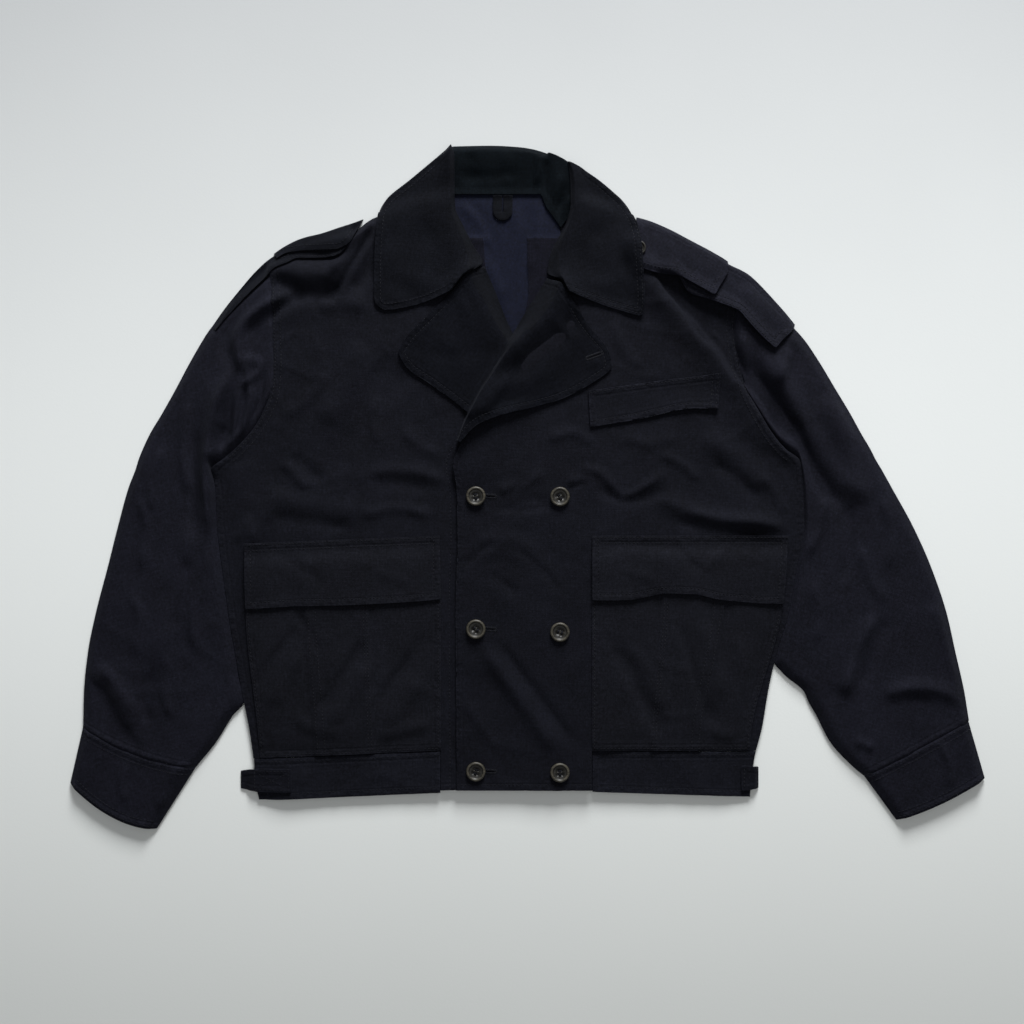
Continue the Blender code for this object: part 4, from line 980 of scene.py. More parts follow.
# Fronts with their hem bands, patch pockets and flaps
pocketShape = {"pleatFrom": .31, "pleatTo": .635, "pleatRaise": 1.5, "bottom": -270.4, "top": -72.0}
flapShape = {
    "right": {"x": [-292, -240, -180, -120, -86], "drop": [-118.5, -117, -117.5, -116.5, -115]},
    "left": {"x": [60, 66, 100, 145, 170, 200, 262, 270],
             "drop": [-116, -116, -116, -109, -110, -116, -120, -120]},
}
flapFolds = [
    (-1.2, 4, ((148, -57), (164, -72), (179, -88)), 1), (1.1, 4, ((180, -86), (192, -73), (207, -60))),
    (-.9, 4, ((86, -60), (116, -59), (146, -62))), (.9, 5, ((96, -84), (120, -92), (140, -104))),
    (-.9, 5, ((-258, -68), (-230, -84), (-204, -104))), (.8, 5, ((-170, -72), (-150, -88), (-120, -98))),
]
grains = {"right": .012, "left": -.02}
for side in ("right", "left"):
    x, y = frontPlan(side, frontRows, frontColumns)
    top = bodyHeight(side, x, y) + underlap(side, x, y) + jacket["cloth"]
    faceRow, faceColumn = np.indices((x.shape[0] - 1, x.shape[1] - 1))
    kept = (faceRow >= hemRow) | (faceColumn >= centreColumn)
    gx, gy, gz, keep = inOrder(side, x, y, top, kept)
    sewn = ("first", "start", "end")
    piece = clothMesh(f"front_{side}_cloth", gx, gy, gz, 1.8, grains[side], sewn, keep)
    piece.data.materials.append(looks["front"])
    wear(piece, "front_" + side)
    addToPile(x[hemRow:], y[hemRow:], top[hemRow:])
    addToPile(x[:, centreColumn:], y[:, centreColumn:], top[:, centreColumn:])
    owner = "front_" + side
    edge = pairs(x[:, -1], y[:, -1])
    if side == "left":
        below = edge[edge[:, 1] < 40]
        sew(owner, below, 6.6)                       # front edge, from the hem up
        foot = pairs(x[0, centreColumn:], y[0, centreColumn:])[::-1]
        sew(owner, foot + [0, 6.0])
        sew(owner, [(66, -270), (66, -311)], -2.0)
    arm = bodyEdge(side)
    arm = arm[arm[:, 1] > 32]
    arm = arm if side == "left" else arm[::-1]
    sew(owner, arm, 2.6)
    sew(owner, arm, 8.6)

    # hem band
    outer = frontColumns[frontColumns <= 2.0]
    hemX, hemY = frontPlan(side, np.array([jacket["hem"]]), outer)
    insideX = frontPlan(side, np.array([jacket["hem"]]), np.array([1.0]))[0][0, 0]
    part, column = np.meshgrid(np.linspace(0, 1, 17), outer, indexing="ij")
    low = mix(-312.6, -321.0 if side == "right" else -319.0, np.clip((np.abs(hemX) - 66) / 190, 0, 1))
    bandY = mix(low + 0 * part, hemY - .5, part)
    bandX = np.where(column < 1, mix(bodySide(side, bandY), insideX, column), hemX + 0 * part)
    bandX = np.where(column == 2.0, bandX + outwards[side] * .5, bandX)
    roll = .5 * np.sin(np.clip(part, 0, 1) * math.pi)
    bandTop = bodyHeight(side, bandX, bandY) + jacket["cloth"] + roll * ease((column - .1) * 3)
    gx, gy, gz = inOrder(side, bandX, bandY, bandTop)
    band = clothMesh(f"band_{side}_cloth", gx, gy, gz, 1.8, math.pi / 2,
                     ("first", "last", "end" if side == "right" else "start"))
    band.data.materials.append(looks["band"])
    wear(band, "band_" + side)
    addToPile(bandX, bandY, bandTop)
    owner = "band_" + side
    seamLine = pairs(bandX[-1], bandY[-1])
    lowLine = pairs(bandX[0], bandY[0])
    sew(owner, seamLine[4:] + [0, -3.2])
    sew(owner, lowLine[4:] + [0, 6.2])

    # patch pocket with its box pleat
    pocketRows = np.linspace(pocketShape["bottom"], pocketShape["top"], 66)
    pocketColumns = np.concatenate([1 + np.array([0, .006, .02, .035]), np.linspace(1.05, 1.95, 62),
                                    1 + np.array([.965, .98, .994, 1])])
    x, y = frontPlan(side, pocketRows, pocketColumns)
    across = np.meshgrid(pocketRows, pocketColumns - 1, indexing="ij")[1]
    inPleat = (ease((across - pocketShape["pleatFrom"]) / .012 + .5)
               * ease((pocketShape["pleatTo"] - across) / .012 + .5))
    top = sample(restOn(1), x, y) + jacket["pocketCloth"] + pocketShape["pleatRaise"] * inPleat
    fill = np.minimum(across, 1 - across) * 190
    top = top + .9 * ease(fill / 30) * ease((y + 269) / 26) + .5 * noise(x, y, 46, 71) * ease(fill / 12)
    top = top - 1.1 * (1 - ease((y - pocketShape["bottom"]) / 6))
    gx, gy, gz = inOrder(side, x, y, top)
    pocket = clothMesh(f"pocket_{side}_cloth", gx, gy, gz, 1.5, grains[side], ("first", "start", "end"))
    pocket.data.materials.append(looks["pocket"])
    wear(pocket, "pocket_" + side)
    addToPile(x, y, top)
    owner = "pocket_" + side
    sew(owner, aroundEdges(gx, gy), 2.4)
    for at in (pocketShape["pleatFrom"], pocketShape["pleatTo"]):
        lineX, lineY = frontPlan(side, np.linspace(pocketShape["bottom"] + 3, -118, 40), np.array([1 + at]))
        shift = -2.6 if at == pocketShape["pleatTo"] else 2.6
        for more in (0, 7.5) if shift > 0 else (0, 3.2):
            aside = (shift + more * shift / 2.6) * outwards[side]
            sew(owner, pairs(lineX[:, 0] - aside, lineY[:, 0]))

    # pocket flap
    part, column = np.meshgrid(np.linspace(0, 1, 26), pocketColumns, indexing="ij")
    topX, topY = frontPlan(side, np.array([-50.0]), pocketColumns)
    lowX, _ = frontPlan(side, np.array([-116.0]), pocketColumns)
    lowY = curve(flapShape[side]["x"], flapShape[side]["drop"], lowX)
    if side == "right":
        lowY = lowY - 7 * np.clip((-90 - lowX) / 195, 0, 1)
    x, y = mix(lowX, topX, part), mix(lowY, topY, part)
    top = sample(restOn(5), x, y) + jacket["cloth"] + jacket["clear"]
    top = top + (.7 * noise(x, y, 42, 83) + .5 * noise(x, y, 21, 84)) * (1 - part) + .5 * ease(1 - part)
    top = top + foldLift(x, y, flapFolds)
    gx, gy, gz = inOrder(side, x, y, top)
    flap = clothMesh(f"flap_{side}_cloth", gx, gy, gz, 1.9, grains[side], ("first", "last", "start", "end"))
    flap.data.materials.append(looks["pocket"])
    wear(flap, "flap_" + side)
    addToPile(x, y, top)
    owner = "flap_" + side
    sew(owner, aroundEdges(gx, gy), 6.4)
    head = pairs(x[-1], y[-1])
    sew(owner, head + [0, -1.8])
    sew(owner, head + [0, -7.6])
print("fronts, bands and pockets made")

# Sleeves and cuffs, as flattened tubes
armInner = {"y": [-300, -288, -262, -235, -221, -210, -195, -184],
            "right": [-346, -341, -320, -303, -291.5, -292.5, -296.6, -297.5],
            "left": [348, 335, 311, 297, 289, 284, 266, 253.4]}
cuffs = {
    "right": {"seamOuter": (-457, -247), "seamInner": (-341, -288), "edgeOuter": (-470, -304),
              "edgeInner": (-381, -351), "seamSag": 8, "edgeSag": 11, "grain": .23},
    "left": {"seamOuter": (453, -240), "seamInner": (346, -297), "edgeOuter": (470, -299),
             "edgeInner": (379, -342), "seamSag": 1, "edgeSag": 4, "grain": -.27},
}
headLow = 98.0


def lengthsAlong(points):
    steps = np.concatenate([[0], np.cumsum(np.hypot(*np.diff(points, axis=0).T))])
    return steps / steps[-1]


def sleevePlan(side, us, vs):
    edge = bodyEdge(side)[::-1]
    tuck = mix(-.3, -2.4, ease((edge[:, 1] - 60) / 50))      # the seam lies under the body's edge
    edge = edge + pairs(outwards[side] * tuck, 0 * tuck)
    head = edge[edge[:, 1] > headLow]
    inner = edge[(edge[:, 1] > armInner["y"][-1]) & (edge[:, 1] <= head[-1, 1])]
    cuff = cuffs[side]
    lower = [(armInner[side][k], armInner["y"][k]) for k in range(6, -1, -1)
             if armInner["y"][k] > cuff["seamInner"][1]]
    lower.append(cuff["seamInner"])
    joint = np.array([inner[-1]] + lower, float)
    dense = np.linspace(joint[0, 1], joint[-1, 1], 50)[1:]
    inner = np.concatenate([inner, pairs(curve(joint[:, 1], joint[:, 0], dense), dense)])
    u, v = np.meshgrid(us, vs, indexing="xy")
    tip = head[0]
    arm = "arm" + side.capitalize()
    inset = float(curve(outline["y"], outline[arm], tip[1])) - tip[0]

    def outer(v):
        y = mix(tip[1], cuff["seamOuter"][1], v)
        return curve(outline["y"], outline[arm], y) - inset * (1 - ease(v / .15)), y

    def along(points, at):
        lengths = lengthsAlong(points)
        return np.interp(at, lengths, points[:, 0]), np.interp(at, lengths, points[:, 1])

    end = outer(np.array(1.0))

    def seam(u):
        return (mix(end[0], inner[-1, 0], u), mix(end[1], inner[-1, 1], u) - 4 * u * (1 - u) * cuff["seamSag"])

    o, i, h, s = outer(v), along(inner, v), along(head, u), seam(u)
    a, b, c, d = head[0], head[-1], seam(0), seam(1)
    out = []
    for n in (0, 1):
        corner = (1 - u) * (1 - v) * a[n] + u * (1 - v) * b[n] + (1 - u) * v * c[n] + u * v * d[n]
        out.append((1 - u) * o[n] + u * i[n] + (1 - v) * h[n] + v * s[n] - corner)
    return out


def cuffPlan(side, us, vs):
    cuff = cuffs[side]
    u, v = np.meshgrid(us, vs, indexing="xy")
    out = []
    for n in (0, 1):
        seam = mix(cuff["seamOuter"][n], cuff["seamInner"][n], u)
        edge = mix(cuff["edgeOuter"][n], cuff["edgeInner"][n], u)
        if n:
            seam = seam - 4 * u * (1 - u) * cuff["seamSag"] + .2
            edge = edge - 4 * u * (1 - u) * cuff["edgeSag"]
        out.append(mix(seam, edge, v))
    return out


def tubeMesh(name, x, y, top, wall, grain, sewnRows):
    # flattened tube: the upper side, rounded folds and a flat underside, with an inner wall
    n, m = x.shape
    acrossX, acrossY = x[:, -1] - x[:, 0], y[:, -1] - y[:, 0]
    width = np.hypot(acrossX, acrossY)
    unitX, unitY = acrossX / width, acrossY / width
    foldHeight = 2.3
    turnedUnder = [(.0, foldHeight), (-.35, foldHeight * .5), (-1.1, .35), (-3, 0)]
    rings = []
    for i in range(n):
        line = [(x[i, j], y[i, j], top[i, j]) for j in range(m)]
        for away, z in turnedUnder:
            line.append((x[i, -1] + unitX[i] * away, y[i, -1] + unitY[i] * away, z))
        for t in np.linspace(.88, .12, 14):
            line.append((mix(x[i, 0], x[i, -1], t), mix(y[i, 0], y[i, -1], t), 0))
        for away, z in turnedUnder[::-1]:
            line.append((x[i, 0] - unitX[i] * away, y[i, 0] - unitY[i] * away, z))
        rings.append(line)
    shape = np.array(rings)
    count = shape.shape[1]
    wrapped = np.concatenate([shape, shape[:, :1]], axis=1)
    bm = bmesh.new()
    bmesh.ops.create_grid(bm, x_segments=count, y_segments=n - 1, size=1)
    bm.verts.ensure_lookup_table()
    seamLayer = bm.verts.layers.float.new("seam")
    rowAway = np.full(n, farFromSeam)
    ends = pairs(x.mean(axis=1), y.mean(axis=1))
    for k in sewnRows:
        rowAway = np.minimum(rowAway, np.hypot(*(ends - ends[k]).T))
    flat = wrapped.reshape(-1, 3) * mm
    for k, vert in enumerate(bm.verts):
        vert.co = flat[k]
        vert[seamLayer] = rowAway[k // (count + 1)]
    bmesh.ops.remove_doubles(bm, verts=bm.verts[:], dist=2e-6)
    bmesh.ops.recalc_face_normals(bm, faces=bm.faces[:])
    up = sum(face.normal.z * face.calc_area() for face in bm.faces if face.calc_center_median().z > 3 * mm)
    if up < 0:
        bmesh.ops.reverse_faces(bm, faces=bm.faces[:])
    layWeave(bm, grain)
    thing = finishMesh(bm, name)
    shell = thing.modifiers.new("Wall", "SOLIDIFY")
    shell.thickness = wall * mm
    shell.offset = -1
    bpy.context.view_layer.update()
    made = bpy.data.meshes.new_from_object(thing.evaluated_get(bpy.context.evaluated_depsgraph_get()))
    thing.modifiers.clear()
    thing.data = made
    return thing


def tubeHeight(x, y, loft, seed, headRow=False, rough=1.35):
    width = np.hypot(x[:, -1] - x[:, 0], y[:, -1] - y[:, 0])[:, None]
    inward = np.minimum(np.hypot(x - x[:, :1], y - y[:, :1]), np.hypot(x - x[:, -1:], y - y[:, -1:]))
    z = jacket["cloth"] + jacket["seam"] + jacket["loft"] * loft * ease(inward / 16 + .35)
    relief = foldLift(x, y, folds) + foldLift(x, y, shoulderFolds) + 1.6 * foldLift(x, y, sleeveCreases)
    z = z + (relief + wrinkle(x, y, seed, rough)) * ease(inward / 14)
    z = np.maximum(z, jacket["cloth"] + jacket["seam"]) + jacket["cloth"]
    edgeHeight = 2.6
    z = np.where(inward < .05, edgeHeight, mix(edgeHeight, z, np.sqrt(np.clip(inward / 9.0, 0, 1))))
    if headRow:
        fromHead = np.hypot(x - x[:1], y - y[:1])
        under = np.maximum(2.2, sample(pile, x[:1], y[:1]) - 2.2)       # the head lies under the body's edge
        z = mix(under + 0 * z, z, ease(fromHead / 6 - .05))
    return z


edgeSteps = np.array([0, .004, .012, .025])
tubeColumns = np.concatenate([edgeSteps, np.linspace(.045, .955, 42), 1 - edgeSteps[::-1]])
for side in ("right", "left"):
    x, y = sleevePlan(side, tubeColumns, np.linspace(0, 1, 136))
    top = tubeHeight(x, y, 1.5, 41 if side == "right" else 57, True)
    sleeve = tubeMesh(f"sleeve_{side}_cloth", x, y, top, .9, cuffs[side]["grain"], [-1])
    sleeve.data.materials.append(looks["sleeve"])
    wear(sleeve, "sleeve_" + side)
    addToPile(x, y, top)
    cx, cy = cuffPlan(side, tubeColumns, np.linspace(0, 1, 24))
    height = tubeHeight(cx, cy, 1.5, 41 if side == "right" else 57, rough=.7)
    cuff = tubeMesh(f"cuff_{side}_cloth", cx, cy, height, 1.0, cuffs[side]["grain"] + math.pi / 2, [0, -1])
    cuff.data.materials.append(looks["sleeve"])
    wear(cuff, "cuff_" + side)
    addToPile(cx, cy, height)
    for row, inset in ((0, 2.5), (0, 8.0), (23, -3.0), (23, -8.5)):
        line = pairs(cx[row, 3:-3], cy[row, 3:-3])
        sew("cuff_" + side, line if side == "right" else line[::-1], -inset)
print("sleeves and cuffs made")


# Collar, lapels and shoulder pieces, laid on what is below them

def strips(table, perRow, spans):
    # each row of the table crosses the strip; a span runs between two of its columns
    at = np.linspace(0, len(table) - 1, perRow * (len(table) - 1) + 1)
    k = np.arange(len(table))
    sides = [[curve(k, [row[part][axis] for row in table], at) for axis in (0, 1)]
             for part in range(len(table[0]))]
    xs, ys = [], []
    for first, last, places in spans:
        t = np.array(places)[None, :]
        xs.append(mix(sides[first][0][:, None], sides[last][0][:, None], t))
        ys.append(mix(sides[first][1][:, None], sides[last][1][:, None], t))
    return np.concatenate(xs, axis=1), np.concatenate(ys, axis=1)


def roundCorner(x, y, foldAt, radius):  # the free edge turns into the last row on a curve
    step = np.hypot(np.diff(x[:, 0]), np.diff(y[:, 0]))
    left = np.concatenate([np.cumsum(step[::-1])[::-1], [0]])
    pull = radius - np.sqrt(np.maximum(0, radius**2 - np.maximum(0, radius - left)**2))
    width = np.hypot(x[:, foldAt] - x[:, 0], y[:, foldAt] - y[:, 0])
    share = (pull / width)[:, None]
    head = slice(0, foldAt + 1)
    t = np.hypot(x[:, head] - x[:, :1], y[:, head] - y[:, :1]) / width[:, None]
    shift = share * (1 - t)
    newX = x[:, head] + (x[:, foldAt:foldAt + 1] - x[:, :1]) * shift
    newY = y[:, head] + (y[:, foldAt:foldAt + 1] - y[:, :1]) * shift
    x, y = x.copy(), y.copy()
    x[:, head], y[:, head] = newX, newY
    return x, y


def drapeHeight(x, y, foldAt, bulge=0.0, wrapRows=0, lift=None, reach=3, hugging=2):
    # a piece laid over others; at the fold column it swells into a roll and dives to the tucked edge
    z = sample(restOn(reach), x, y) + jacket["clear"]
    if foldAt is not None:
        close = sample(restOn(hugging), x, y) + jacket["clear"]
        foldX, foldY = x[:, foldAt:foldAt + 1], y[:, foldAt:foldAt + 1]
        z = z + np.where(np.arange(x.shape[1])[None, :] <= foldAt,
                         bulge * ease(1 - np.hypot(x - foldX, y - foldY) / 34), 0)
        crest, end = z[:, foldAt:foldAt + 1], close[:, -1:]
        down = (np.arange(x.shape[1])[None, :] - foldAt) / (x.shape[1] - 1 - foldAt)
        tucked = np.maximum(close, mix(crest, np.minimum(crest, end), ease(down)))
        z = np.where(down > 0, tucked, z)
    if lift is not None:
        z = z + lift(x, y)
    if wrapRows:
        fromEdge = np.hypot(x - x[:, :1], y - y[:, :1])
        wrapped = np.minimum(z, 1.3 * fromEdge)
        z = np.where(np.arange(x.shape[0])[:, None] < wrapRows, wrapped, z)
    return z


def facingUp(x, y, z):  # the same grid, turned so that its upper side faces up
    ux, uy = x[0, -1] - x[0, 0], y[0, -1] - y[0, 0]
    vx, vy = x[-1, 0] - x[0, 0], y[-1, 0] - y[0, 0]
    if ux * vy - uy * vx < 0:
        return x[::-1], y[::-1], z[::-1]
    return x, y, z


def layPiece(name, node, look, x, y, top, thick, grain, sewn, foldAt=None):
    gx, gy, gz = facingUp(x, y, top)
    if gy is not y and gx[0, 0] != x[0, 0]:
        sewn = [{"first": "last", "last": "first"}.get(side, side) for side in sewn]
    piece = clothMesh(name, gx, gy, gz, thick, grain, sewn)
    piece.data.materials.append(looks[look])
    if foldAt is not None:                  # inside of the neck, past the roll
        # the faces past the roll take the darker facing copy of the cotton: painted shade
        piece.data.materials.append(looks["facing"])
        roll = pairs(x[:, foldAt], y[:, foldAt])
        tuck = pairs(x[:, -1], y[:, -1])
        for face in piece.data.polygons:
            px, py = face.center.x / mm, face.center.y / mm
            near = int(np.argmin(np.hypot(roll[:, 0] - px, roll[:, 1] - py)))
            toward = tuck[near] - roll[near]
            if (px - roll[near, 0]) * toward[0] + (py - roll[near, 1]) * toward[1] > .8 * np.hypot(*toward):
                face.material_index = 1
    wear(piece, node)
    addToPile(x, y, top)
    return piece


standRows = [
    ((-81, 300.3), (-81, 341), (-79.5, 350.2)), ((-40, 300.3), (-40, 342), (-39, 351)),
    ((-5, 300.3), (-5, 341), (-4, 349)), ((12, 300.3), (16, 336), (20, 343)),
    ((19, 287), (31, 326), (35, 336.8)), ((25, 279), (41, 318), (47, 326.5)), ((30, 272), (44, 299), (51, 305)),
    ((34, 266), (42, 277), (46, 281)),
]
standFolds = [
    (2.4, 4, ((7, 300), (10, 320), (11, 342)), 1), (-2.6, 4, ((14, 298), (18, 318), (20, 336))),
    (2.2, 4, ((24, 284), (29, 302), (34, 322))), (-2.2, 3, ((28, 276), (35, 292), (40, 310))),
    (1.6, 3, ((32, 270), (38, 282), (43, 298))), (-1.6, 6, ((-70, 322), (-40, 318), (-10, 322))),
    (-1.6, 5, ((-62, 306), (-58, 324), (-60, 342))), (1.4, 5, ((-24, 304), (-20, 324), (-22, 344))),
    (.8, 4, ((-74, 306), (-72, 326), (-74, 344))), (.8, 5, ((-44, 304), (-42, 326), (-40, 346))),
]
x, y = strips(standRows, 9, [(0, 1, np.linspace(0, 1, 16)), (1, 2, np.linspace(0, 1, 5)[1:])])
rest = sample(restOn(2), x, y) + .4
slope = ease(np.hypot(x - x[:, :1], y - y[:, :1]) / 42)
top = np.maximum(rest, 2.5 + 5.0 * slope)
top = top + (foldLift(x, y, standFolds) + wrinkle(x, y, 15, .6)) * ease(slope * 3)
toEdge = 1.3 * np.hypot(x - x[:, -1:], y - y[:, -1:])
top = np.where(np.arange(x.shape[0])[:, None] <= 27, np.minimum(top, toEdge), top) + jacket["cloth"]
layPiece("collar_stand_cloth", "collar_stand", "stand", x, y, top, 1.8, .05, [])

lapelRows = {
    "right": [
        ((-79, 198.5), (-60, 221), (-44, 226)), ((-100, 178), (-50, 197), (-33, 200)),
        ((-125, 152), (-36, 170), (-22, 172)), ((-132, 138), (-24, 152), (-14, 155)),
        ((-124, 122), (-12, 138), (-8, 140)), ((-100, 105), (-20, 118), (-17, 120)),
        ((-78, 89), (-33, 99), (-30, 101)), ((-60, 75), (-44, 81), (-41, 83)),
    ],
    "left": [
        ((42.5, 196), (34, 208), (20, 214)), ((62, 165), (22, 184), (6, 192)),
        ((83, 139), (8, 166), (-4, 176)), ((86, 123), (-8, 151), (-15, 157)),
        ((62, 103.5), (-22, 134), (-25, 137)), ((32, 88.5), (-35, 114), (-38, 116)),
        ((2, 80), (-46, 97), (-49, 99)), ((-26, 73), (-54, 82), (-57, 84)),
        ((-52, 62), (-63, 66), (-66, 67)), ((-68, 45), (-71, 46), (-73, 47)),
    ],
}
wingRows = {
    "right": [
        ((-84, 347), (-79.6, 350), (-78.4, 351)), ((-97, 336), (-80, 338), (-75, 338)),
        ((-121, 316), (-80, 320), (-75, 320)), ((-145, 296), (-80, 302), (-75, 302)),
        ((-153, 281), (-79, 285), (-74, 286)), ((-155, 262), (-73, 266), (-66, 268)),
        ((-156.5, 240), (-65, 244), (-56, 248)), ((-157, 215), (-61, 224), (-46, 230)),
        ((-157, 193), (-68, 214), (-66, 216)), ((-151, 177.5), (-79, 200), (-77, 202)),
    ],
    "left": [
        ((60, 325), (43, 332), (41, 333)), ((73, 316), (47, 319), (43, 320)),
        ((88, 303.5), (49, 305), (44, 305)), ((99, 293), (49, 290), (44, 289)),
        ((108, 279), (45, 273), (40, 272)), ((114, 262), (40, 260), (33, 258)),
        ((116.5, 240), (34.5, 242), (24, 240)), ((118, 217), (34, 224), (20, 220)),
        ((119.5, 194), (37, 209), (35.5, 210)), ((118, 173.5), (42.5, 198), (41, 199)),
    ],
}
lapelFolds = {
    "right": [(-.9, 9, ((-118, 140), (-80, 134), (-40, 140))), (.8, 8, ((-96, 160), (-74, 140), (-62, 112))),
              (.9, 6, ((-70, 196), (-62, 176), (-64, 160)))],
    "left": [(-3.4, 14, ((-46, 98), (-20, 118), (5, 137), (30, 155), (58, 176))),
             (-1.8, 8, ((-34, 112), (0, 129), (25, 144), (42, 156))), (1.2, 7, ((-38, 98), (-4, 108), (26, 118))),
             (-1.0, 7, ((-56, 70), (-24, 86), (8, 96))), (1.0, 6, ((20, 178), (36, 160), (56, 150))),
             (.9, 5, ((60, 122), (70, 128), (80, 128)))],
}
wingFolds = {
    "right": [(-1.2, 12, ((-146, 260), (-120, 250), (-92, 262))),
              (1.1, 10, ((-90, 330), (-104, 300), (-108, 268))),
              (.9, 9, ((-120, 226), (-104, 206), (-84, 204))),
              (-.9, 8, ((-140, 214), (-124, 200), (-110, 190)))],
    "left": [(-1.2, 10, ((96, 286), (80, 262), (58, 256))), (1.0, 9, ((60, 300), (66, 276), (62, 244))),
             (.9, 8, ((100, 220), (84, 208), (60, 212))), (-.9, 8, ((110, 196), (92, 190), (70, 196)))],
}
freeToFold = np.concatenate([[0, .008, .02, .045], np.linspace(.08, 1, 30)])
foldToTuck = np.linspace(0, 1, 8)[1:]
spans = [(0, 1, freeToFold), (1, 2, foldToTuck)]
foldAt = len(freeToFold) - 1
lapelSettings = {"right": {"bulge": 2.6, "grain": -.62, "lift": None},
                 "left": {"bulge": 4.2, "grain": .55,
                          "lift": lambda x, y: 5.0 * ease(1 - np.hypot(x + 38, y - 66) / 60)}}
for side in ("right", "left"):
    setting = lapelSettings[side]
    x, y = strips(lapelRows[side], 9, spans)
    top = drapeHeight(x, y, foldAt, setting["bulge"], lift=setting["lift"], reach=4) + jacket["cloth"]
    inside = ease(np.hypot(x - x[:, :1], y - y[:, :1]) / 12)
    top = top + (foldLift(x, y, lapelFolds[side]) + .5 * wrinkle(x, y, 91 + len(side), 1)) * inside
    layPiece(f"lapel_{side}_cloth", "lapel_" + side, "lapel", x, y, top, 1.9, setting["grain"],
             ["start", "first"], foldAt)
    edge = pairs(x[:, 0], y[:, 0])
    sew("lapel_" + side, edge[3:] if side == "right" else edge[3:][::-1], 6.3)
print("stand and lapels made")

# Shoulder saddles and epaulettes
patches = {
    "saddle_right": [
        ((-326, 163), (-319, 160)), ((-312, 183), (-304, 178)), ((-296, 203), (-287, 196)),
        ((-280, 221.5), (-270, 212)), ((-265, 235), (-257, 224)), ((-252, 242.5), (-246, 229)),
        ((-238, 250.5), (-234, 234.5)),
        ((-215, 256.5), (-213, 234.5)), ((-196, 262), (-195, 236.5)), ((-182, 267), (-186, 243)),
    ],
    "saddle_left": [
        ((112, 273.5), (114, 230)), ((128, 269), (131, 224)), ((148, 260), (150, 220)),
        ((165, 251), (165, 199)), ((188, 239), (190, 190)), ((209, 228), (214, 180)),
        ((226, 219.5), (225, 168)), ((246, 200.5), (238, 154)), ((256, 189.5), (248, 145)),
        ((261, 184), (252.5, 142)), ((267, 177), (260, 149.5)), ((275, 167), (272, 161)),
    ],
    "epaulette_right": [
        ((-261, 240), (-257, 234)), ((-250, 247.5), (-246, 240)), ((-232, 256), (-230, 242)),
        ((-212, 261), (-211, 242.5)), ((-194, 267), (-193, 243)), ((-180, 271.5), (-181, 250)),
        ((-169, 275.5), (-172, 268)),
    ],
    "epaulette_left": [
        ((112, 277.5), (111, 225)), ((126, 273.5), (128, 219)), ((147, 264.5), (150, 216.5)),
        ((167, 254), (168, 208)), ((186, 244), (183, 199.5)), ((194, 239.5), (190, 196)),
        ((200, 236), (197, 206)), ((206, 232), (205, 219)),
    ],
    "chest_flap": [
        ((62, 98), (64, 61)), ((95, 103), (97, 66)), ((130, 108), (130, 72.5)), ((153, 111), (153, 78)),
        ((174, 113.2), (173, 80)), ((197, 116), (195, 79.5)),
    ],
}
patchAcross = np.concatenate([[0, .01, .03, .07], np.linspace(.12, .93, 20), [.96, .985, 1]])
allRows = 999
# The right saddle and epaulette take the darker collar copy of the cotton, the left ones the lighter sleeve copy:
# painted shade and painted light on mirror pieces.
patchSettings = {
    "saddle_right": {"look": "collar", "wrap": allRows, "reach": 2, "grain": .75, "thick": 1.1,
                     "on": ["front_right_cloth"]},
    "saddle_left": {"look": "sleeve", "wrap": allRows, "reach": 3, "grain": -.7, "lift": 4.5,
                    "on": ["front_left_cloth"]},
    "epaulette_right": {"look": "collar", "wrap": allRows, "reach": 1, "grain": .35, "thick": 1.1,
                        "on": ["saddle_right_cloth"]},
    "epaulette_left": {"look": "sleeve", "wrap": allRows, "reach": 2, "grain": -.5, "lift": 2.6,
                       "on": ["saddle_left_cloth"]},
    "chest_flap": {"wrap": 0, "reach": 2, "grain": .13, "on": ["front_left_cloth"]},
}


def layPatch(name):
    setting = patchSettings[name]
    x, y = strips(patches[name], 8, [(0, 1, patchAcross)])
    thick = setting.get("thick", 1.9)
    top = drapeHeight(x, y, None, wrapRows=setting["wrap"], reach=setting["reach"]) + thick + .1
    inside = ease(np.hypot(x - x[:, :1], y - y[:, :1]) / 10)
    top = top + .5 * wrinkle(x, y, len(name) * 7, 1) * inside
    stands = ease(1 - np.hypot(x - x[:, -1:], y - y[:, -1:]) / 18)
    stands = stands * np.sin(np.linspace(0, math.pi, len(x)))[:, None]
    top = top + setting.get("lift", 0) * stands                        # the lower edge stands off the hollow
    if name == "chest_flap":
        top = top + foldLift(x, y, [(1.1, 5, ((130, 109), (131, 90), (128, 72)))])
        top = top + 2.2 * ease((x - 110) / 90) * ease((104 - y) / 34)      # its right end lifts
    sewn = [] if "thick" in setting else ["start", "end", "first", "last"]
    layPiece(name + "_cloth", name, setting.get("look", "front"), x, y, top, thick, setting["grain"],
             sewn)
    low = pairs(x[:, -1], y[:, -1])
    if name == "chest_flap":
        end = pairs(x[-1], y[-1])
        for inset in (2.4, 7.6):
            sew(name, insetPath(end[::-1], inset))
        ring = np.concatenate([low, end[::-1][1:]])
        sew(name, ring[:-12], 6.2)
        sew(name, pairs(x[:, 0], y[:, 0])[::-1][6:], 2.2)
    else:
        for inset in (2.2, 7.4) if name.startswith("saddle") else (5.6,):
            sew(name, low[len(low) // 2 if name == "saddle_right" else 2:-2], inset)


for name in ("saddle_right", "saddle_left", "epaulette_right", "epaulette_left"):
    layPatch(name)


# Horn buttons

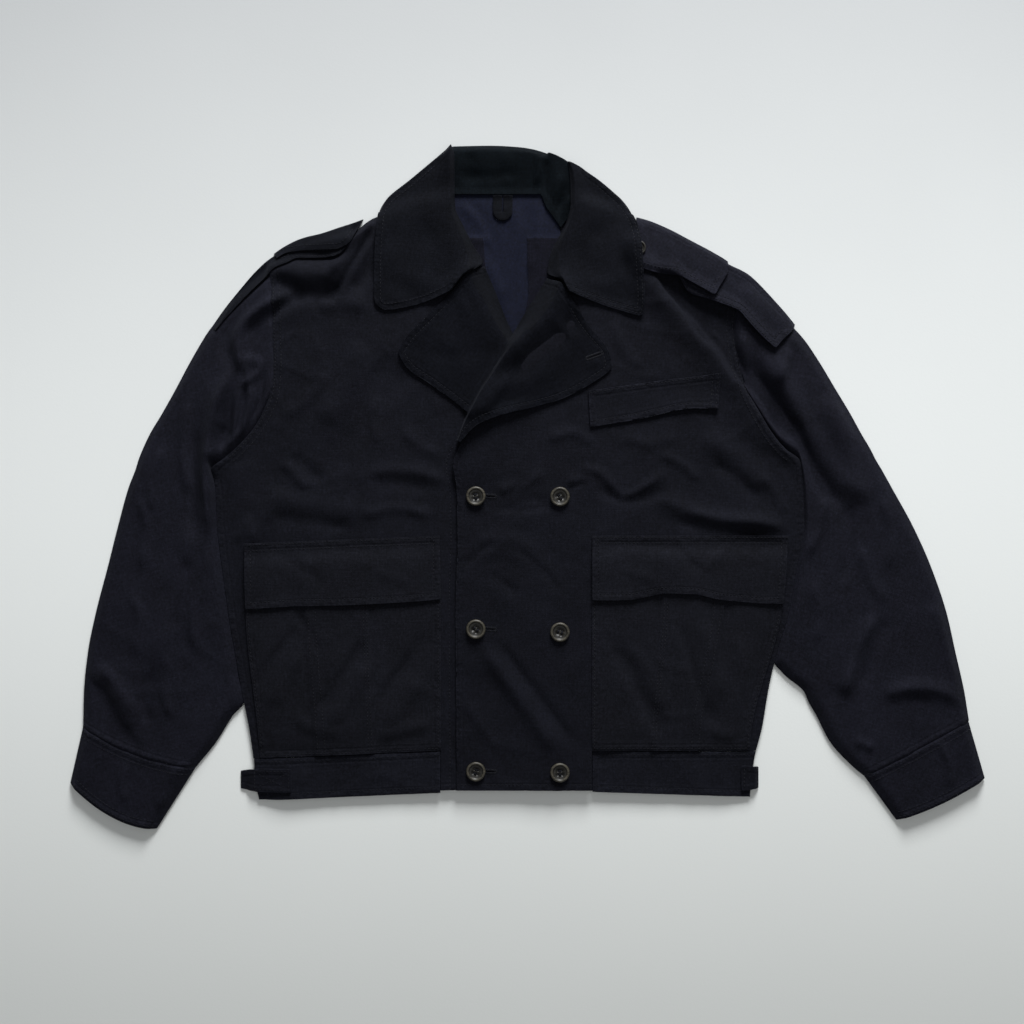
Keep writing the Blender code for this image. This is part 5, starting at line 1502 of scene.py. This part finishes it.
def hornLook(name, brightness):
    material, tree, shader = newMaterial(name, {
        "Specular IOR Level": .42, "Coat Weight": .1, "Coat Roughness": .25})
    place = tree.nodes.new("ShaderNodeTexCoord")
    bend = node(tree, "ShaderNodeMapping", (-900, 0), Scale=(1, 2.6, 1), Rotation=(0, 0, .5))
    tree.links.new(place.outputs["Object"], bend.inputs["Vector"])
    vein = node(tree, "ShaderNodeTexNoise", (-700, 100), Scale=150.0, Detail=6.0, Distortion=1.2)
    speck = node(tree, "ShaderNodeTexNoise", (-700, -150), Scale=900.0, Detail=2.0)
    tree.links.new(bend.outputs[0], vein.inputs["Vector"])
    tree.links.new(place.outputs["Object"], speck.inputs["Vector"])
    stops = [(.3, (.012, .0105, .0075)), (.5, (.036, .032, .022)), (.72, (.07, .061, .044))]
    # a brightness below 1 makes a darker copy of the horn, which stands for painted shade
    stops = [(at, [value * brightness for value in colour]) for at, colour in stops]
    tone = colourRamp(tree, (-450, 100), vein.outputs["Fac"], stops)
    tree.links.new(tone, shader.inputs["Base Color"])
    rough = node(tree, "ShaderNodeMapRange", (-450, -150), **{"To Min": .38, "To Max": .6})
    tree.links.new(speck.outputs["Fac"], rough.inputs["Value"])
    tree.links.new(rough.outputs[0], shader.inputs["Roughness"])
    bump = node(tree, "ShaderNodeBump", (-200, -250), Strength=.3, Distance=.0002)
    tree.links.new(speck.outputs["Fac"], bump.inputs["Height"])
    tree.links.new(bump.outputs[0], shader.inputs["Normal"])
    return material


looks["horn"] = hornLook("Grey brown horn", 1)
# darker copy of the horn for the sunk face inside the rim: painted shade in the dish
looks["hornFace"] = hornLook("Horn face in painted shade", .22)
# darker copy of the horn for the shoulder button's rim, half under the collar wing: painted shade
looks["shadedHorn"] = hornLook("Horn rim in painted shade", .3)
buttonShape = {"diameter": 20.0, "height": 3.6, "hole": 1.15, "holeFrom": 2.0, "floor": 1.9}


def circle(bm, cx, cy, radius, z, sides):  # closed ring of edges
    ring = [bm.verts.new((cx + radius * math.cos(2 * math.pi * k / sides),
                          cy + radius * math.sin(2 * math.pi * k / sides), z)) for k in range(sides)]
    return [bm.edges.new((ring[k], ring[(k + 1) % sides])) for k in range(sides)]


def buttonMesh(name, nodeName, x, y, diameter, turn):  # four holes in a sunk face, and a raised rim
    scale = diameter / buttonShape["diameter"] * mm
    bm = bmesh.new()
    floorZ = buttonShape["floor"]
    edges = circle(bm, 0, 0, 6.2, floorZ, 48)
    far = buttonShape["holeFrom"]
    holes = [circle(bm, cx, cy, buttonShape["hole"], floorZ, 12)
             for cx, cy in ((far, far), (-far, far), (-far, -far), (far, -far))]
    bmesh.ops.triangle_fill(bm, use_beauty=True, use_dissolve=False,
                            edges=edges + [edge for hole in holes for edge in hole])
    for face in bm.faces:
        if face.normal.z < 0:
            face.normal_flip()
    for hole in holes:
        wall = bmesh.ops.extrude_edge_only(bm, edges=hole)
        for item in wall["geom"]:
            if isinstance(item, bmesh.types.BMVert):
                item.co.z = .15
    profile = [(6.6, 2.0), (7.1, 2.5), (7.5, 3.15), (8.0, 3.55), (8.6, 3.6), (9.2, 3.35), (9.7, 2.8),
               (9.98, 2.1), (9.9, 1.5), (9.3, .8), (8.0, .3), (5.5, .05), (2.0, .05)]
    last = edges
    for radius, z in profile:
        made = bmesh.ops.extrude_edge_only(bm, edges=last)
        last = [item for item in made["geom"] if isinstance(item, bmesh.types.BMEdge)]
        for vert in {v for edge in last for v in edge.verts}:
            a = math.atan2(vert.co.y, vert.co.x)
            vert.co = (radius * math.cos(a), radius * math.sin(a), z)
    bmesh.ops.contextual_create(bm, geom=last)
    bmesh.ops.recalc_face_normals(bm, faces=bm.faces[:])
    # faces inside the rim take the darker horn copy: painted shade in the sunk face
    for face in bm.faces:
        middle = face.calc_center_median()
        face.material_index = int(math.hypot(middle.x, middle.y) < 7.1)
    bmesh.ops.rotate(bm, verts=bm.verts[:], cent=(0, 0, 0), matrix=Vector((1, 0, 0)).rotation_difference(
        Vector((math.cos(turn), math.sin(turn), 0))).to_matrix())
    around = np.linspace(0, 6, 12)
    seat = max(float(sample(pile, x + 7 * math.cos(a), y + 7 * math.sin(a))) for a in around) + .2
    for vert in bm.verts:
        vert.co = vert.co * scale + Vector((x * mm, y * mm, seat * mm))
    for face in bm.faces:
        face.smooth = True
    thing = finishMesh(bm, name)
    # the shoulder button's rim takes the darker horn copy: painted shade
    thing.data.materials.append(looks["horn" if diameter == buttonShape["diameter"] else "shadedHorn"])
    thing.data.materials.append(looks["hornFace"])
    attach(thing, "root")
    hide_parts(nodeName)
    return seat


def threadBars(name, x, y, seat, diameter, turn):  # thread that holds a button, in two bars
    bm = bmesh.new()
    scale = diameter / buttonShape["diameter"]
    far = buttonShape["holeFrom"]
    for sideY in (-1, 1):
        for strand in (-.55, 0, .55):
            path = []
            for t in np.linspace(0, 1, 11):
                along = mix(-far, far, t)
                high = buttonShape["floor"] + .75 * math.sin(math.pi * t) - 1.2 * (t in (0, 1))
                path.append(Vector((along, sideY * far + strand, high)))
            rings = []
            for k, point in enumerate(path):
                rings.append([bm.verts.new((point.x, point.y + .3 * math.cos(a), point.z + .3 * math.sin(a)))
                              for a in np.linspace(0, 2 * math.pi, 7)[:-1]])
            for a, b in zip(rings, rings[1:]):
                for k in range(6):
                    bm.faces.new((a[k], a[(k + 1) % 6], b[(k + 1) % 6], b[k]))
            bm.faces.new(rings[0][::-1])
            bm.faces.new(rings[-1])
    bmesh.ops.recalc_face_normals(bm, faces=bm.faces[:])
    c, s = math.cos(turn), math.sin(turn)
    for vert in bm.verts:
        px, py = vert.co.x * scale, vert.co.y * scale
        vert.co = ((x + c * px - s * py) * mm, (y + s * px + c * py) * mm, (seat + vert.co.z * scale) * mm)
    for face in bm.faces:
        face.smooth = True
    thing = finishMesh(bm, name, sewingGroup)
    thing.data.materials.append(looks["thread"])
    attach(thing, "root")


def layButton(nodeName, x, y, diameter, turn):
    seat = buttonMesh(nodeName + "_horn", nodeName, x, y, diameter, turn)
    threadBars(nodeName + "_thread", x, y, seat, diameter, turn)
    radius = diameter / 2
    spot = np.linspace(-1, 1, 41)
    gx, gy = np.meshgrid(x + radius * spot, y + radius * spot)
    topZ = seat + buttonShape["height"] * diameter / buttonShape["diameter"]
    z = np.where(np.hypot(gx - x, gy - y) <= radius, topZ, 0)
    addToPile(gx, gy, z, 2)


layButton("shoulder_button_left", 113, 243.5, 15, .4)

# Collar wings
wingSettings = {"right": {"grain": -.1, "on": ["lapel_right_cloth", "front_right_cloth"]},
                "left": {"grain": .2, "on": ["lapel_left_cloth", "front_left_cloth"]}}
for side in ("right", "left"):
    x, y = strips(wingRows[side], 9, spans)
    footWidth = np.hypot(x[-1, foldAt] - x[-1, 0], y[-1, foldAt] - y[-1, 0])
    across = np.clip(np.hypot(x - x[:, :1], y - y[:, :1]) / footWidth, 0, 1)
    toFoot = ease(np.linspace(-2, 1, x.shape[0]))[:, None]
    y = y - (3.0 if side == "right" else 1.0) * toFoot * np.sin(math.pi * across)      # the lower edge bows
    x, y = roundCorner(x, y, foldAt, 12 if side == "right" else 4.5)
    top = drapeHeight(x, y, foldAt, 3.0, wrapRows=36, reach=5, hugging=3) + jacket["cloth"]
    inside = ease(np.hypot(x - x[:, :1], y - y[:, :1]) / 14)
    top = top + (foldLift(x, y, wingFolds[side]) + .5 * wrinkle(x, y, 111 + len(side), 1)) * inside
    layPiece(f"collar_{side}_cloth", "collar_" + side, "collar", x, y, top, 1.9,
             wingSettings[side]["grain"], ["start", "last"], foldAt)
    edge = pairs(x[:, 0], y[:, 0])
    foot = pairs(x[-1, :foldAt], y[-1, :foldAt])
    ring = np.concatenate([edge[10:], foot[1:]])
    ring = ring if side == "right" else ring[::-1]
    for inset in (6.4,) if side == "right" else (2.2, 6.8):
        sew("collar_" + side, ring, inset)
layPatch("chest_flap")
print("collar and shoulders made")

# Adjuster straps on the hem band: upper end, lower end and height, where None lies on the band
tabs = {
    "right": [((-295, -292), (-295, -310), 0), ((-289, -291), (-289, -311), .8),
              ((-284, -290), (-284, -312), 3.8), ((-281.5, -290), (-281.5, -312), 4.9),
              ((-277, -289), (-277, -313), None), ((-260, -289), (-260, -313), None),
              ((-242, -289), (-242, -313), None)],
    "left": [((219, -286), (219, -311), None), ((227, -286), (227, -311), None),
             ((232.8, -287), (232.8, -310), 4.9), ((234.5, -287), (234.5, -310), 3.6),
             ((237.5, -288), (237.5, -309), .6)],
}
for side, rows in tabs.items():
    places = np.array([row[0][0] for row in rows], float)
    rest = restOn(1)
    heights = [row[2] if row[2] is not None else
               max(float(sample(rest, *row[0])), float(sample(rest, *row[1]))) + .3 for row in rows]
    along = np.unique(np.concatenate([np.linspace(places[0], places[-1], 26), places]))
    u, t = np.meshgrid(along, np.linspace(0, 1, 12), indexing="ij")
    y = mix(curve(places, [row[1][1] for row in rows], u), curve(places, [row[0][1] for row in rows], u), t)
    top = np.interp(u, places, heights) + jacket["pocketCloth"] + .15 * noise(u, y, 9, 5)
    if side == "right":
        top = np.maximum(top, np.where(u > places[-1] - 30, sample(rest, u, y) + 1.5, 0))
    layPiece(f"side_tab_{side}_cloth", "side_tab_" + side, "front", u, y, top, 1.5, 0,
             ["start", "end", "last" if side == "right" else "first"])
    if side == "right":
        low, high, near, far = -310.6, -291.4, -280, -244.5
        sew("side_tab_right", [(near, high), (far, high), (far, low), (near, low), (near, high)])
        sew("side_tab_right", [(-276, -294.5), (-248, -307.5)])
        sew("side_tab_right", [(-276, -307.5), (-248, -294.5)])
    else:
        sew("side_tab_left", [(222, -288.4), (222, -308.6)])
        sew("side_tab_left", [(227, -288.4), (227, -308.6)])

# Hanger loop, a tape folded flat in a U
loopShape = {"centre": (-25.5, 283.0), "radius": 5.35, "half": 4.72}
cx, cy = loopShape["centre"]
radius, half = loopShape["radius"], loopShape["half"]
turns = np.linspace(0, math.pi, 22)
path = [(cx - radius, v, 1, 0) for v in np.linspace(299, 284.5, 8)]
path += [(cx - radius * math.cos(a), cy - radius * math.sin(a), math.cos(a), math.sin(a)) for a in turns]
path += [(cx + radius, v, -1, 0) for v in np.linspace(284.5, 299, 8)]
path = np.array(path)
t = np.linspace(-half, half, 9)[None, :]
x, y = path[:, :1] + path[:, 2:3] * t, path[:, 1:2] + path[:, 3:4] * t
rest = sample(restOn(2), path[:, 0], path[:, 1])[:, None]
top = rest + 1.9 + .5 * (1 - (t / half)**4) + .25 * np.sin(path[:, :1] * 1.9) * (t / half)
# the loop takes the darker facing copy of the cotton, painted shade
layPiece("hanger_loop_cloth", "hanger_loop", "facing", x, y, top, 1.2, 0, [])

# Front buttons and buttonholes
buttonTurns = iter((.2, .9, -.3, .5, 1.2, .05))
buttonPlaces = {"outer": [(-53, -9.5), (-53, -145.5), (-53, -291.2)],
                "inner": [(33, -10), (33, -148.5), (33, -292)]}


def buttonhole(owner, start, end):  # worked slit: close beads of thread round it
    start, end = np.array(start, float), np.array(end, float)
    unit = (end - start) / np.hypot(*(end - start))
    across = np.array([-unit[1], unit[0]])
    length = np.hypot(*(end - start))
    half = 1.5
    ring = []
    for side in (-1, 1):
        for s in np.arange(0, length, .75):
            middle = start + unit * s + across * side * half
            ring.append((middle - across * .9, middle + across * .9))
    for a in np.linspace(-1.2, 1.2, 5):
        direction = unit * math.cos(a) + across * math.sin(a)
        ring.append((end + direction * .8, end + direction * 2.4))
        ring.append((start - direction * .8, start - direction * 2.4))
    points, ways = [], []
    for a, b in ring:
        middle = (a + b) / 2
        z = float(sample(pile, *middle)) + .05
        points.append((*middle, z))
        ways.append((*(b - a), 0.0))
    sewing.setdefault(owner, []).append((np.array(points), np.array(ways)))
    slits.append((start, end))


slits = []
for k in range(3):
    x, y = buttonPlaces["outer"][k]
    buttonhole("front_left", (x + 10.5, y), (x + 19.5, y - .5))
buttonhole("lapel_left", (61, 131), (75, 136))
for column in ("outer", "inner"):
    for k, (x, y) in enumerate(buttonPlaces[column]):
        layButton(f"button_{column}_{k + 1}", x, y, buttonShape["diameter"], next(buttonTurns))

# Dark sheets in the buttonhole slits: painted shadow in the openings, with speckle
slitMesh = bmesh.new()
for start, end in slits:
    unit = (end - start) / np.hypot(*(end - start))
    across = np.array([-unit[1], unit[0]])
    count = 12
    bottom = []
    for k in range(count):
        t = k / (count - 1)
        middle = mix(start, end, t)
        wide = .65 * math.sin(math.pi * min(max(t, .06), .94))**.5
        z = float(sample(pile, *middle)) + .12
        row = [(*(middle + across * wide * s), z + .12 * (s == 0)) for s in (-1, 0, 1)]
        bottom.append([slitMesh.verts.new([value * mm for value in point]) for point in row])
    for a, b in zip(bottom, bottom[1:]):
        slitMesh.faces.new((a[0], b[0], b[1], a[1]))
        slitMesh.faces.new((a[1], b[1], b[2], a[2]))
bmesh.ops.recalc_face_normals(slitMesh, faces=slitMesh.faces[:])
slitLook, tree, shader = newMaterial("Slit shadow", {"Roughness": 1, "Specular IOR Level": 0})
shadowSpeckle = node(tree, "ShaderNodeTexNoise", (-500, 0), Scale=700.0)
tint = colourRamp(tree, (-300, 0), shadowSpeckle.outputs["Fac"], [(0, (.0006, .0006, .0009)), (1, (.002, .002, .003))])
tree.links.new(tint, shader.inputs["Base Color"])
slitPiece = finishMesh(slitMesh, "buttonhole_slit_shadows", sewingGroup)
slitPiece.data.materials.append(slitLook)
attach(slitPiece, "root")

# Stitches, one joined mesh for each piece that carries them
for k, (owner, rows) in enumerate(sorted(sewing.items())):
    threads = stitchMesh(f"stitches_{owner}", rows, 200 + k)
    threads.data.materials.append(looks["thread"])
    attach(threads, "root")
print("buttons and stitches made")

# Floor, light and camera
floorMesh = bmesh.new()
bmesh.ops.create_grid(floorMesh, x_segments=40, y_segments=40, size=2.2)
floor = finishMesh(floorMesh, "floor", setGroup)
paper, tree, shader = newMaterial("Pale matt board", {"Roughness": .8, "Specular IOR Level": .2})
place = tree.nodes.new("ShaderNodeTexCoord")
split = node(tree, "ShaderNodeSeparateXYZ", (-800, 0))
tree.links.new(place.outputs["Object"], split.inputs[0])
cloud = node(tree, "ShaderNodeTexNoise", (-800, 250), Scale=3.0, Detail=3.0)
tree.links.new(place.outputs["Object"], cloud.inputs["Vector"])
cloudy = maths(tree, "MULTIPLY_ADD", (-640, 150), cloud.outputs["Fac"], .06, split.outputs["Y"])
# the board's colour is palest across the middle and darker towards the top, and less so towards the bottom
fade = mapRange(tree, (-600, 0), cloudy, -.62, .6, smooth=False)
tone = colourRamp(tree, (-400, 0), fade, [
    (0, (.57, .583, .56)), (.5, (.97, .995, .975)), (1, (.295, .301, .308))], "B_SPLINE")
tree.links.new(tone, shader.inputs["Base Color"])
grain = node(tree, "ShaderNodeTexNoise", (-400, -300), Scale=400.0, Detail=3.0)
bump = node(tree, "ShaderNodeBump", (-200, -300), Strength=.15, Distance=.0004)
tree.links.new(place.outputs["Object"], grain.inputs["Vector"])
tree.links.new(grain.outputs["Fac"], bump.inputs["Height"])
tree.links.new(bump.outputs[0], shader.inputs["Normal"])
floor.data.materials.append(paper)

lights = {
    "Window above": {"place": (.35, 2.4, 1.18), "aim": (0, 0, 0), "size": 1.0, "power": 124,
                     "colour": (.97, .985, 1)},
    "Soft overhead": {"place": (.3, -.3, 2.6), "aim": (0, -.1, 0), "size": 2.6, "power": 13,
                      "colour": (1, .995, .98)},
}
for name, setting in lights.items():
    lamp = bpy.data.lights.new(name, "AREA")
    lamp.shape = "SQUARE"
    lamp.size = setting["size"]
    lamp.energy = setting["power"]
    lamp.color = setting["colour"]
    thing = bpy.data.objects.new(name, lamp)
    thing.location = setting["place"]
    aim = Vector(setting["aim"]) - Vector(setting["place"])
    thing.rotation_euler = aim.to_track_quat("-Z", "Y").to_euler()
    setGroup.objects.link(thing)
world = bpy.data.worlds.new("Soft room")
bpy.context.scene.world = world
world.use_nodes = True
world.node_tree.nodes["Background"].inputs["Color"].default_value = (.93, .96, 1, 1)
world.node_tree.nodes["Background"].inputs["Strength"].default_value = .19

camera = bpy.data.cameras.new("Camera")
camera.lens = 50
camera.sensor_width = 36
camera.sensor_fit = "HORIZONTAL"
camera.clip_start = .05
cameraThing = bpy.data.objects.new("Camera", camera)
cameraThing.location = (-.016, -.02575, 1.0547 * 50 / 36)
setGroup.objects.link(cameraThing)
bpy.context.scene.camera = cameraThing
bpy.context.scene.view_settings.view_transform = "Standard"
bpy.context.scene.view_settings.look = "None"
print("set, lights and camera made")
